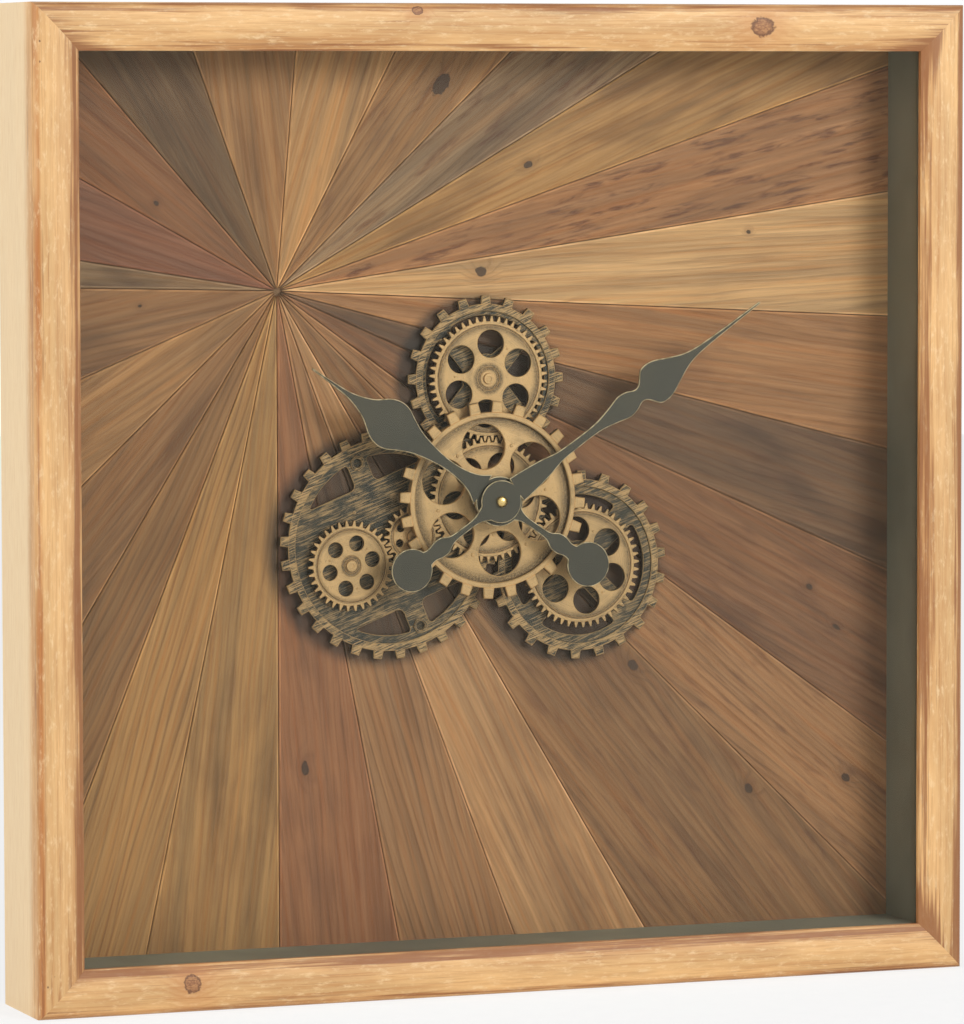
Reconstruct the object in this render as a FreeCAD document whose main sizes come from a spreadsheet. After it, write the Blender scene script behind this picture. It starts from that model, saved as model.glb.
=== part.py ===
import FreeCAD, Part
import math
import os
from types import SimpleNamespace

import Sketcher
from FreeCAD import Placement, Rotation, Vector

# A square shadow-box wall clock: a mitred pine frame with a glass front, a back panel of
# wedge-shaped planks, three fixed toothed wheels, a train of turning gears and two hands.
# Millimetres, +Z up, front towards -Y, origin at the middle of the bottom face.
# A depth is measured from the frame's front plane towards the wall.

DRIVING_SIZES = [
    # Frame and glass
    ("frame_width", 600.0), ("frame_height", 600.0), ("frame_depth", 74.0),
    ("rail_width", 28.6), ("edge_round", 4.5), ("crown_drop", 0.6),
    ("slope_run", 9.6), ("slope_radius", 16.0), ("lip_drop", 4.0), ("lip_width", 4.2),
    ("glass_depth", 7.5), ("glass_thickness", 2.0), ("glass_play", 0.4),
    ("liner_thickness", 4.0), ("liner_play", 0.1),
    # Plank panel and back board
    ("panel_depth", 53.0), ("plank_thickness", 2.5), ("board_thickness", 2.5),
    ("panel_play", 0.3), ("plank_joint", 0.16),
    ("burst_left_share", 0.221), ("burst_up_share", 0.2123),
    # Hub and fixed wheels
    ("hub_drop", 1.6), ("wheel_back_depth", 50.6), ("web_thickness", 2.0),
    ("rim_thickness", 3.2), ("wheel_gap", 0.4),
    ("tooth_root_width", 7.0), ("tooth_tip_width", 5.6), ("tooth_sink", 0.8),
    ("left_wheel_left", 63.1), ("left_wheel_drop", 26.2), ("left_wheel_tip", 70.0),
    ("left_wheel_root", 65.0), ("left_wheel_rim", 60.3), ("left_wheel_teeth", 29),
    ("left_wheel_turn", 3.1), ("band_turn", 22.0), ("band_half", 39.5),
    ("band_spoke_half", 6.6), ("band_window_radius", 56.5),
    ("top_wheel_tip", 50.6), ("top_wheel_root", 45.6), ("top_wheel_rim", 41.0),
    ("top_wheel_teeth", 20), ("top_wheel_turn", 17.8), ("top_window_outer", 38.6),
    ("top_window_inner", 15.0), ("top_window_outer_angle", 38.0),
    ("top_window_inner_angle", 16.0),
    ("right_wheel_tip", 58.0), ("right_wheel_root", 53.0), ("right_wheel_rim", 48.4),
    ("right_wheel_teeth", 22), ("right_wheel_turn", 6.2), ("right_window_outer", 43.4),
    ("right_window_inner", 15.0), ("right_window_outer_angle", 34.5),
    ("right_window_inner_angle", 16.0), ("window_count", 4),
    ("window_round", 2.4),
    ("boss_radius", 3.4), ("rim_boss_radius", 2.2),
    ("collar_corner_radius", 4.9), ("collar_hole_radius", 2.9), ("collar_height", 1.2),
    ("bolt_ring", 54.0), ("bolt_turn", 112.0),
    # Fine-toothed gears
    ("fine_module", 1.54), ("fine_addendum", 1.4), ("fine_dedendum", 1.9),
    ("fine_root_width", 2.9), ("fine_tip_width", 1.0),
    ("large_teeth", 48), ("left_teeth", 34), ("idler_teeth", 22),
    ("gear_depth", 43.0), ("gear_thickness", 3.0), ("centre_tooth_turn", 7.23),
    ("right_direction", -34.7), ("left_direction", 203.14),
    ("hole_count", 6), ("large_hole_radius", 8.6), ("large_hole_ring", 21.6),
    ("left_hole_radius", 4.75), ("left_hole_ring", 14.0),
    ("idler_hole_radius", 2.6), ("idler_hole_ring", 9.3),
    ("top_hole_turn", 26.0), ("right_hole_turn", 39.0), ("left_hole_turn", 15.5),
    ("idler_hole_turn", 24.0), ("centre_fine_hole_turn", 8.0),
    ("pin_radius", 2.5), ("pin_head_radius", 3.4), ("pin_head_height", 1.2),
    ("turning_play", 0.05), ("fixed_play", 0.02), ("end_play", 0.1),
    ("gear_boss_radius", 4.4),
    # Centre gear
    ("centre_tip", 60.3), ("centre_root", 53.9), ("centre_rim", 50.5),
    ("centre_depth", 35.4), ("centre_thickness", 4.5), ("centre_teeth", 24),
    ("centre_turn", 12.05), ("centre_dish_edge", 1.7), ("centre_dish_hub", 3.8),
    ("centre_hub_radius", 12.0), ("centre_boss_radius", 9.0),
    ("centre_hole_radius", 13.9), ("centre_hole_ring", 33.2), ("centre_hole_turn", 39.0),
    ("centre_tooth_root_width", 7.4), ("centre_tooth_tip_width", 6.0),
    # Arbors at the centre
    ("bushing_radius", 4.0), ("bushing_bore", 2.6), ("bushing_front_depth", 30.0),
    ("arbor_seat", 8.0), ("sleeve_radius", 6.0), ("sleeve_front_depth", 33.6),
    ("sleeve_seat", 2.6), ("panel_hole_radius", 7.0),
    ("hour_tube_radius", 2.54), ("hour_tube_bore", 1.65), ("arbor_radius", 1.6),
    ("arbor_back_depth", 63.0),
    # Hands
    ("minute_hand_depth", 21.0), ("hour_hand_depth", 24.2), ("hand_thickness", 1.2),
    ("minute_length", 208.0), ("minute_half_width", 13.2), ("minute_hub_radius", 13.0),
    ("minute_tail", 70.5), ("minute_tail_radius", 13.1),
    ("hour_length", 146.0), ("hour_half_width", 15.3), ("hour_hub_radius", 15.2),
    ("hour_tail", 70.5), ("hour_tail_radius", 13.7),
    ("minutes_past_ten", 9.2), ("cap_radius", 3.4), ("cap_height", 2.6),
    ("cap_bevel", 1.0), ("hour_collar", 0.8),
    # Movement case on the back
    ("case_width", 150.0), ("case_height", 84.0), ("case_back_depth", 73.4),
    ("case_corner", 5.0), ("case_gap", 0.1), ("case_opening_play", 1.0),
    ("flange_height", 104.0), ("flange_thickness", 2.0),
    ("flange_screw_across", 62.0), ("flange_screw_up", 46.8),
    ("cell_length", 49.0), ("cell_radius", 7.1), ("cell_tip_radius", 2.75),
    ("cell_tip_length", 1.3), ("cell_play", 0.3), ("bay_wall", 1.8),
    ("bay_side", 41.0), ("bay_drop", 29.0),
    ("cover_thickness", 1.2), ("cover_margin", 2.4), ("cover_play", 0.3),
    ("cover_travel", 38.0), ("grip_width", 18.0), ("grip_height", 1.2),
    ("grip_pitch", 3.0), ("grip_count", 4), ("grip_cut", 0.5),
    ("knob_radius", 6.5), ("knob_height", 2.8), ("knob_recess_radius", 8.2),
    ("knob_recess", 3.6), ("knob_stem_radius", 2.0), ("knob_stem", 4.0),
    ("knob_up", 21.0), ("knob_notch_radius", 0.8), ("knob_notches", 12),
    # Screws and hangers
    ("wheel_screw_radius", 1.4), ("wheel_screw_bite", 1.4), ("screw_head_radius", 2.0),
    ("screw_head_height", 1.6), ("wood_screw_radius", 1.2), ("wood_screw_bite", 9.0),
    ("board_screw_inset", 2.1), ("board_screw_share", 0.3),
    ("hanger_width", 50.0), ("hanger_height", 19.0), ("hanger_thickness", 1.5),
    ("hanger_share", 0.375), ("hanger_drop", 12.0), ("hanger_corner", 3.0),
    ("hanger_sink", 1.7),
    ("key_radius", 4.5), ("key_slot_half", 2.3), ("key_slot_up", 7.0), ("key_drop", 3.4),
    ("key_pocket_depth", 9.0), ("key_pocket_half", 8.0), ("hanger_screw_side", 19.0),
    ("overrun", 1.0),
]

# Directions of the joints between planks, in degrees from +X, seen from the front
PLANK_JOINTS = [8.0, 18.5, 30.0, 43.5, 62.0, 85.0, 110.0, 131.5, 151.0, 171.0, 178.5, 202.5,
                223.0, 238.0, 248.0, 258.0, 270.0, 281.0, 291.0, 301.0, 316.0, 324.5, 336.0,
                345.5, 357.0]

# Hand outlines from the hub to the tip: share of the length, share of the half width
MINUTE_OUTLINE_SHARES = [(0.058, 0.64), (0.12, 0.54), (0.173, 0.41), (0.221, 0.25),
                         (0.27, 0.205), (0.37, 0.22), (0.433, 0.42), (0.471, 0.575),
                         (0.5, 0.52), (0.529, 0.34), (0.548, 0.46), (0.572, 0.9),
                         (0.596, 1.0), (0.625, 0.92), (0.663, 0.64), (0.721, 0.27),
                         (0.793, 0.13), (1.0, 0.05)]
HOUR_OUTLINE_SHARES = [(0.09, 0.7), (0.137, 0.42), (0.185, 0.28), (0.24, 0.21), (0.295, 0.21),
                       (0.35, 0.27), (0.397, 0.355), (0.452, 0.5), (0.507, 0.74),
                       (0.548, 0.94), (0.589, 1.0), (0.637, 0.87), (0.705, 0.43),
                       (0.795, 0.145), (0.877, 0.075), (1.0, 0.035)]
# Tail outline from the hub to the round weight: share of the tail, share of its radius
TAIL_OUTLINE_SHARES = [(0.17, 0.4), (0.27, 0.18), (0.42, 0.15), (0.55, 0.19), (0.63, 0.4),
                       (0.7, 0.42), (0.78, 0.33), (0.86, 0.42)]


class Size:
    """A length, angle or count that carries its spreadsheet formula with its value."""

    def __init__(self, formula, value):
        self.formula = formula
        self.value = value

    def joined(self, sign, other, value):
        return Size("(%s %s %s)" % (self.formula, sign, formula_of(other)), value)

    def __add__(self, other):
        return self.joined("+", other, self.value + float(other))

    def __sub__(self, other):
        return self.joined("-", other, self.value - float(other))

    def __mul__(self, other):
        return self.joined("*", other, self.value * float(other))

    def __truediv__(self, other):
        return self.joined("/", other, self.value / float(other))

    def __neg__(self):
        return Size("(0 - %s)" % self.formula, -self.value)

    def __float__(self):
        return float(self.value)


def formula_of(amount):
    return amount.formula if isinstance(amount, Size) else repr(float(amount))


def cosine(angle):
    return Size("cos(%s * 1deg)" % formula_of(angle), math.cos(math.radians(float(angle))))


def sine(angle):
    return Size("sin(%s * 1deg)" % formula_of(angle), math.sin(math.radians(float(angle))))


def root(amount):
    return Size("sqrt(%s)" % amount.formula, math.sqrt(amount.value))


doc = FreeCAD.newDocument("WoodenGearClock")
sheet = doc.addObject("Spreadsheet::Sheet", "Sizes")
sizes = {}
for row, (name, value) in enumerate(DRIVING_SIZES, start=1):
    sheet.set("A%d" % row, name.replace("_", " "))
    sheet.set("B%d" % row, str(value))
    sheet.setAlias("B%d" % row, name)
    sizes[name] = Size("Sizes." + name, value)
doc.recompute()
size = SimpleNamespace(**sizes)
hub_height = size.frame_height / 2 - size.hub_drop
hanger_side = size.frame_width * size.hanger_share

SUB_PARTS = []


# Helpers that bind geometry to the sheet

def bind(item, path, amount):
    item.setExpression(path, formula_of(amount))


def sub_part(item, label, placement=None):
    """Name a finished piece and list it for writing."""
    item.Label = label
    if placement is not None:
        item.Placement = placement
    SUB_PARTS.append(item)
    return item


def front_view(right, depth, height, turn=0.0):
    """Place a piece that is drawn as seen from the front, with its own z towards the viewer."""
    base = Vector(float(right), float(depth) - float(size.frame_depth) / 2, float(height))
    facing = Rotation(Vector(1, 0, 0), 90)
    return Placement(base, facing.multiply(Rotation(Vector(0, 0, 1), float(turn))))


def back_view(right, depth, height):
    """Place a piece that is drawn as seen from the back, with its own z towards the wall."""
    base = Vector(float(right), float(depth) - float(size.frame_depth) / 2, float(height))
    half_turn = Rotation(Vector(0, 0, 1), 180)
    return Placement(base, half_turn.multiply(Rotation(Vector(1, 0, 0), 90)))


def origin_of(body, role):
    return [item for item in body.Origin.OriginFeatures if item.Role == role][0]


def new_body(label):
    return doc.addObject("PartDesign::Body", label + "_body")


def sketch_on(body, role="XY_Plane", height=None, turn=0.0):
    sketch = body.newObject("Sketcher::SketchObject", body.Name + "_sketch")
    sketch.AttachmentSupport = [(origin_of(body, role), "")]
    sketch.MapMode = "FlatFace"
    sketch.AttachmentOffset = Placement(Vector(0, 0, 0), Rotation(Vector(0, 0, 1), float(turn)))
    if height is not None:
        bind(sketch, "AttachmentOffset.Base.z", height)
    return sketch


def constrain(sketch, kind, where, amount):
    number = sketch.addConstraint(Sketcher.Constraint(kind, *where, float(amount)))
    bind(sketch, "Constraints[%d]" % number, amount)


def pin_point(sketch, geometry, point, right, up):
    """Fix a sketch point by its two distances from the sketch's origin."""
    for kind, axis, amount in (("DistanceX", -2, right), ("DistanceY", -1, up)):
        if float(amount) == 0 and not isinstance(amount, Size):
            sketch.addConstraint(Sketcher.Constraint("PointOnObject", geometry, point, axis))
        else:
            constrain(sketch, kind, (-1, 1, geometry, point), amount)


def draw_circle(sketch, radius, right=0.0, up=0.0):
    centre = Vector(float(right), float(up), 0)
    circle = sketch.addGeometry(Part.Circle(centre, Vector(0, 0, 1), float(radius)))
    pin_point(sketch, circle, 3, right, up)
    constrain(sketch, "Radius", (circle,), radius)


def arc_between(start, end, radius, side):
    """An arc that bulges to the left (side 1) or the right (side -1) of the way to its end."""
    along = end - start
    normal = Vector(-along.y, along.x, 0).normalize()
    rise = math.sqrt(radius ** 2 - (along.Length / 2) ** 2)
    centre = (start + end) / 2 - normal * (side * rise)
    first, last = (start, end) if side < 0 else (end, start)
    begin = math.atan2(first.y - centre.y, first.x - centre.x)
    finish = math.atan2(last.y - centre.y, last.x - centre.x)
    if finish < begin:
        finish += 2 * math.pi
    return Part.ArcOfCircle(Part.Circle(centre, Vector(0, 0, 1), radius), begin, finish)


def draw_outline(sketch, corners):
    """Draw a closed outline. A corner is (right, up) or (right, up, radius, side of the arc)."""
    points = [Vector(float(corner[0]), float(corner[1]), 0) for corner in corners]
    ends = []
    for number, corner in enumerate(corners):
        start = points[number]
        end = points[(number + 1) % len(points)]
        if len(corner) == 2:
            geometry = sketch.addGeometry(Part.LineSegment(start, end))
            ends.append((geometry, 1, 2))
        else:
            geometry = sketch.addGeometry(arc_between(start, end, float(corner[2]), corner[3]))
            ends.append((geometry, 1, 2) if corner[3] < 0 else (geometry, 2, 1))
    for number, corner in enumerate(corners):
        geometry, first, last = ends[number]
        following = ends[(number + 1) % len(ends)]
        where = (geometry, last, following[0], following[1])
        sketch.addConstraint(Sketcher.Constraint("Coincident", *where))
        pin_point(sketch, geometry, first, corner[0], corner[1])
        if len(corner) > 2:
            constrain(sketch, "Radius", (geometry,), corner[2])


def draw_rectangle(sketch, left, right, bottom, top):
    draw_outline(sketch, [(left, bottom), (right, bottom), (right, top), (left, top)])


def feature(body, kind, sketch):
    item = body.newObject("PartDesign::" + kind, body.Name + "_" + kind.lower())
    item.Profile = sketch
    body.Tip = item
    return item


def pad(body, sketch, length, downwards=False):
    item = feature(body, "Pad", sketch)
    bind(item, "Length", length)
    item.Reversed = downwards
    return item


def pocket(body, sketch, depth):
    """Cut from the sketch's height down by depth."""
    item = feature(body, "Pocket", sketch)
    bind(item, "Length", depth)
    return item


def revolve(body, sketch):
    item = feature(body, "Revolution", sketch)
    item.ReferenceAxis = (sketch, ["V_Axis"])
    item.Angle = 360
    return item


def repeat_round(body, item, count):
    pattern = body.newObject("PartDesign::PolarPattern", body.Name + "_ring")
    pattern.Originals = [item]
    pattern.Axis = (origin_of(body, "Z_Axis"), [""])
    pattern.Angle = 360
    bind(pattern, "Occurrences", count)
    body.Tip = pattern
    return pattern


def cylinder(name, radius, height, placement=None):
    item = doc.addObject("Part::Cylinder", name)
    bind(item, "Radius", radius)
    bind(item, "Height", height)
    if placement is not None:
        item.Placement = placement
    return item


def tube(name, radius, bore, height):
    """A round tube whose own z starts at its back end."""
    outer = cylinder(name + "_outer", radius, height)
    inner = cylinder(name + "_bore", bore, height)
    item = doc.addObject("Part::Cut", name + "_tube")
    item.Base = outer
    item.Tool = inner
    return item


def box(name, length, width, height):
    item = doc.addObject("Part::Box", name)
    bind(item, "Length", length)
    bind(item, "Width", width)
    bind(item, "Height", height)
    return item


def group_of(label, master, spots):
    """One node of identical separate solids: a copy of the master at each spot."""
    doc.recompute()
    copies = []
    for spot in spots:
        copy = master.Shape.copy()
        copy.Placement = spot
        copies.append(copy)
    item = doc.addObject("Part::Feature", label + "_group")
    item.Shape = Part.makeCompound(copies)
    sub_part(item, label)


# Frame: four rails with a crowned face, a rounded outer edge and a slope down to the glass

def make_rail(label, length, reach, turn):
    body = new_body(label)
    half = length / 2
    ridge = size.rail_width - size.slope_run
    chord = ridge - size.edge_round
    crown_radius = chord * chord / (size.crown_drop * 8) + size.crown_drop / 2
    rebate = size.rail_width - size.lip_width
    profile = sketch_on(body, "YZ_Plane", -half)
    draw_outline(profile, [
        (0.0, -size.frame_depth),
        (0.0, -size.edge_round - size.crown_drop, size.edge_round, 1),
        (size.edge_round, -size.crown_drop, crown_radius, 1),
        (ridge, -size.crown_drop, size.slope_radius, 1),
        (size.rail_width, -size.lip_drop),
        (size.rail_width, -size.glass_depth),
        (rebate, -size.glass_depth),
        (rebate, -size.frame_depth)])
    pad(body, profile, length)
    over = size.overrun
    for side in (-1, 1):
        mitre = sketch_on(body, "XY_Plane", over)
        outer = (half + over) * side
        draw_outline(mitre, [(outer, -over), ((half - size.rail_width - over) * side,
                                              size.rail_width + over),
                             (outer, size.rail_width + over)])
        pocket(body, mitre, size.frame_depth + over * 2)
    if label == "frame_top":
        cut_hanger_seats(body)
        cut_hanging_pockets(body)
    middle = front_view(0.0, 0.0, size.frame_height / 2, turn)
    sub_part(body, label, middle.multiply(Placement(Vector(0, -float(reach), 0), Rotation())))


def cut_hanger_seats(body):
    """Shallow seats that sink the keyhole plates and their screw heads into the top rail."""
    depth = size.hanger_thickness + size.hanger_sink
    for side in (-1, 1):
        seat = sketch_on(body, "XY_Plane", depth - size.frame_depth)
        middle = hanger_side * side
        draw_rectangle(seat, middle - size.hanger_width / 2 - size.fixed_play,
                       middle + size.hanger_width / 2 + size.fixed_play,
                       size.hanger_drop - size.hanger_height / 2 - size.fixed_play,
                       size.hanger_drop + size.hanger_height / 2 + size.fixed_play)
        pocket(body, seat, depth + size.overrun)


def cut_hanging_pockets(body):
    """Deeper pockets behind the keyholes for the screw heads, and holes for the plate screws."""
    depth = size.key_pocket_depth + size.hanger_thickness + size.hanger_sink
    for side in (-1, 1):
        hole = sketch_on(body, "XY_Plane", depth - size.frame_depth)
        middle = hanger_side * side
        draw_rectangle(hole, middle - size.key_pocket_half, middle + size.key_pocket_half,
                       size.hanger_drop - size.key_pocket_half,
                       size.hanger_drop + size.key_pocket_half)
        pocket(body, hole, depth + size.overrun)
        for end in (-1, 1):
            bite = size.wood_screw_bite + size.hanger_sink
            screw_hole = sketch_on(body, "XY_Plane", bite - size.frame_depth)
            draw_circle(screw_hole, size.wood_screw_radius + size.fixed_play,
                        middle + size.hanger_screw_side * end, size.hanger_drop)
            pocket(body, screw_hole, bite + size.overrun)


make_rail("frame_bottom", size.frame_width, size.frame_height / 2, 0.0)
make_rail("frame_right", size.frame_height, size.frame_width / 2, 90.0)
make_rail("frame_top", size.frame_width, size.frame_height / 2, 180.0)
make_rail("frame_left", size.frame_height, size.frame_width / 2, 270.0)

# The rebate behind the lip holds the glass, the liners, the planks and the board
rebate_half_width = size.frame_width / 2 - size.rail_width + size.lip_width
rebate_half_height = size.frame_height / 2 - size.rail_width + size.lip_width
middle_height = size.frame_height / 2


def make_glass():
    half_width = rebate_half_width - size.glass_play
    half_height = rebate_half_height - size.glass_play
    pane = box("pane", half_width * 2, half_height * 2, size.glass_thickness)
    corner = float(middle_height) - float(half_height)
    back = size.glass_depth + size.glass_thickness
    sub_part(pane, "glass_pane", front_view(-half_width, back, corner))


make_glass()


# Black liners between the glass and the planks

def make_liner(label, length, reach, turn, screw_side):
    body = new_body(label)
    depth = size.panel_depth - size.glass_depth - size.glass_thickness
    strip = sketch_on(body)
    draw_rectangle(strip, -length / 2, length / 2, 0.0, size.liner_thickness)
    pad(body, strip, depth)
    bite = size.wood_screw_bite - size.plank_thickness - size.board_thickness
    for side in (-1, 1):
        hole = sketch_on(body, "XY_Plane", bite)
        draw_circle(hole, size.wood_screw_radius + size.fixed_play, screw_side * side,
                    size.board_screw_inset)
        pocket(body, hole, size.wood_screw_bite)
    middle = front_view(0.0, size.panel_depth, middle_height, turn)
    sub_part(body, label, middle.multiply(Placement(Vector(0, -float(reach), 0), Rotation())))


screws_across = size.frame_width * size.board_screw_share
screws_upward = size.frame_height * size.board_screw_share
full_length = rebate_half_width * 2 - size.liner_play
side_length = (rebate_half_height - size.liner_thickness) * 2 - size.liner_play * 2
make_liner("liner_bottom", full_length, rebate_half_height, 0.0, screws_across)
make_liner("liner_right", side_length, rebate_half_width, 90.0, screws_upward)
make_liner("liner_top", full_length, rebate_half_height, 180.0, screws_across)
make_liner("liner_left", side_length, rebate_half_width, 270.0, screws_upward)

# Places of the wheels and gears about the hub
large_pitch = size.fine_module * size.large_teeth / 2
left_pitch = size.fine_module * size.left_teeth / 2
idler_pitch = size.fine_module * size.idler_teeth / 2
gear_distance = large_pitch * 2
idler_distance = large_pitch + idler_pitch
left_distance = idler_distance + idler_pitch + left_pitch


def around(direction, distance):
    """A place about the hub, as distances to the right of it and above it."""
    return (cosine(direction) * distance, sine(direction) * distance)


LEFT_WHEEL = (-size.left_wheel_left, -size.left_wheel_drop)
TOP_GEAR = (Size("0", 0.0), gear_distance)
RIGHT_GEAR = around(size.right_direction, gear_distance)
IDLER = around(size.left_direction, idler_distance)
LEFT_GEAR = around(size.left_direction, left_distance)


# Fixed wheels, drawn about their own centres

def wheel_screw_spots(bolts):
    return [around(turn, ring) for ring, turn in bolts]


left_bolts = [(size.bolt_ring, size.bolt_turn), (size.bolt_ring, size.bolt_turn - 180)]
top_rim_middle = (size.top_wheel_rim + size.top_wheel_root) / 2
top_bolts = [(top_rim_middle, 60.0), (top_rim_middle, 150.0)]
right_rim_middle = (size.right_wheel_rim + size.right_wheel_root) / 2
right_bolts = [(right_rim_middle, 0.0), (right_rim_middle, 270.0)]


def draw_tooth(sketch, root_radius, tip_radius, root_width, tip_width):
    base = root_radius - size.tooth_sink
    draw_outline(sketch, [(base, -root_width / 2), (tip_radius, -tip_width / 2),
                          (tip_radius, tip_width / 2), (base, root_width / 2)])


def wheel_blank(body, rim, root_radius, tip_radius, teeth, turn):
    """A disc with a raised rim and square teeth, its back face at z = 0."""
    profile = sketch_on(body, "XZ_Plane")
    draw_outline(profile, [(0.0, 0.0), (root_radius, 0.0), (root_radius, size.rim_thickness),
                           (rim, size.rim_thickness), (rim, size.web_thickness),
                           (0.0, size.web_thickness)])
    revolve(body, profile)
    tooth = sketch_on(body, turn=turn)
    draw_tooth(tooth, root_radius, tip_radius, size.tooth_root_width, size.tooth_tip_width)
    repeat_round(body, pad(body, tooth, size.rim_thickness), teeth)


def cut_neighbour(body, right, up):
    """Take the teeth away where the left wheel passes."""
    relief = sketch_on(body, "XY_Plane", size.rim_thickness + size.overrun)
    draw_circle(relief, size.left_wheel_tip + size.wheel_gap, right, up)
    pocket(body, relief, size.rim_thickness + size.overrun * 2)


def cut_round_windows(body, inner, outer, inner_angle, outer_angle):
    window = sketch_on(body, "XY_Plane", size.web_thickness + size.overrun)
    draw_outline(window, [
        (cosine(inner_angle) * inner, -(sine(inner_angle) * inner)),
        (cosine(outer_angle) * outer, -(sine(outer_angle) * outer), outer, -1),
        (cosine(outer_angle) * outer, sine(outer_angle) * outer),
        (cosine(inner_angle) * inner, sine(inner_angle) * inner, inner, 1)])
    cut = pocket(body, window, size.web_thickness + size.overrun * 2)
    repeat_round(body, cut, size.window_count)


def round_upright_edges(body, radius, inside):
    """Round the straight edges along z that lie nearer to the axis than inside."""
    doc.recompute()
    base = body.Tip
    names = []
    for number, edge in enumerate(base.Shape.Edges, start=1):
        first = edge.Vertexes[0].Point
        last = edge.Vertexes[-1].Point
        upright = abs(first.x - last.x) + abs(first.y - last.y) < 0.001
        if upright and abs(first.z - last.z) > 1 and math.hypot(first.x, first.y) < inside:
            names.append("Edge%d" % number)
    fillet = body.newObject("PartDesign::Fillet", body.Name + "_fillet")
    fillet.Base = (base, names)
    bind(fillet, "Radius", radius)
    body.Tip = fillet


def add_bosses(body, spots, radius):
    """Bosses from the wheel's back to the planks, each with a blind screw hole."""
    reach = size.panel_depth - size.wheel_back_depth
    for right, up in spots:
        boss = sketch_on(body)
        draw_circle(boss, radius, right, up)
        pad(body, boss, reach, downwards=True)
    for right, up in spots:
        hole = sketch_on(body, "XY_Plane", size.wheel_screw_bite)
        draw_circle(hole, size.wheel_screw_radius + size.fixed_play, right, up)
        pocket(body, hole, size.wheel_screw_bite + reach)


def cut_pin_holes(body, spots):
    for right, up in spots:
        hole = sketch_on(body, "XY_Plane", size.web_thickness + size.overrun)
        draw_circle(hole, size.pin_radius + size.fixed_play, right, up)
        pocket(body, hole, size.web_thickness + size.overrun * 2)


def place_wheel(body, label, right, up):
    height = hub_height + up
    sub_part(body, label, front_view(right, size.wheel_back_depth, height))


def make_left_wheel():
    body = new_body("left_wheel")
    wheel_blank(body, size.left_wheel_rim, size.left_wheel_root, size.left_wheel_tip,
                size.left_wheel_teeth, size.left_wheel_turn)
    radius = size.band_window_radius
    far = root(radius * radius - size.band_half * size.band_half)
    high = root(radius * radius - size.band_spoke_half * size.band_spoke_half)
    for turn in (0, 180):
        for side in (-1, 1):
            window = sketch_on(body, "XY_Plane", size.web_thickness + size.overrun,
                               float(size.band_turn) + turn)
            near = size.band_spoke_half * side
            draw_outline(window, [(near, size.band_half), (far * side, size.band_half, radius, -side),
                                  (near, high)])
            pocket(body, window, size.web_thickness + size.overrun * 2)
    round_upright_edges(body, size.window_round, float(size.left_wheel_rim) - 1)
    spots = wheel_screw_spots(left_bolts)
    add_bosses(body, spots, size.boss_radius)
    offset = [(place[0] - LEFT_WHEEL[0], place[1] - LEFT_WHEEL[1]) for place in (IDLER, LEFT_GEAR)]
    cut_pin_holes(body, offset)
    hub_hole = sketch_on(body, "XY_Plane", size.rim_thickness + size.overrun)
    draw_circle(hub_hole, size.panel_hole_radius, -LEFT_WHEEL[0], -LEFT_WHEEL[1])
    pocket(body, hub_hole, size.rim_thickness + size.overrun * 2)
    place_wheel(body, "left_wheel", *LEFT_WHEEL)


def make_round_wheel(label, place, rim, root_radius, tip_radius, teeth, turn, window, bolts):
    body = new_body(label)
    wheel_blank(body, rim, root_radius, tip_radius, teeth, turn)
    cut_neighbour(body, LEFT_WHEEL[0] - place[0], LEFT_WHEEL[1] - place[1])
    cut_round_windows(body, *window)
    round_upright_edges(body, size.window_round, float(rim) - 1)
    add_bosses(body, wheel_screw_spots(bolts), size.rim_boss_radius)
    cut_pin_holes(body, [(0.0, 0.0)])
    place_wheel(body, label, *place)


make_left_wheel()
make_round_wheel("top_wheel", TOP_GEAR, size.top_wheel_rim, size.top_wheel_root,
                 size.top_wheel_tip, size.top_wheel_teeth, size.top_wheel_turn,
                 (size.top_window_inner, size.top_window_outer,
                  size.top_window_inner_angle, size.top_window_outer_angle), top_bolts)
make_round_wheel("right_wheel", RIGHT_GEAR, size.right_wheel_rim, size.right_wheel_root,
                 size.right_wheel_tip, size.right_wheel_teeth, size.right_wheel_turn,
                 (size.right_window_inner, size.right_window_outer,
                  size.right_window_inner_angle, size.right_window_outer_angle), right_bolts)


# Fine gears

def half_tooth_phase(direction, teeth, tooth_turn, next_teeth):
    """Tooth direction of the next gear so that its gap meets this gear's tooth."""
    share = ((float(direction) - float(tooth_turn)) * float(teeth) / 360) % 1
    return float(direction) + 180 - (0.5 - share) * 360 / float(next_teeth)


def fine_blank(body, teeth, tooth_turn):
    """A disc with small tapered teeth, its back face at z = 0."""
    pitch = size.fine_module * teeth / 2
    root_radius = pitch - size.fine_dedendum
    disc = sketch_on(body)
    draw_circle(disc, root_radius)
    pad(body, disc, size.gear_thickness)
    tooth = sketch_on(body, turn=tooth_turn)
    draw_tooth(tooth, root_radius, pitch + size.fine_addendum, size.fine_root_width,
               size.fine_tip_width)
    repeat_round(body, pad(body, tooth, size.gear_thickness), teeth)


def cut_hole_ring(body, radius, ring, turn, thickness):
    hole = sketch_on(body, "XY_Plane", thickness + size.overrun, turn)
    draw_circle(hole, radius, ring)
    cut = pocket(body, hole, thickness + size.overrun * 2)
    repeat_round(body, cut, size.hole_count)


def cut_bore(body, radius, bottom, top):
    bore = sketch_on(body, "XY_Plane", top + size.overrun)
    draw_circle(bore, radius)
    pocket(body, bore, top - bottom + size.overrun * 2)


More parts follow.
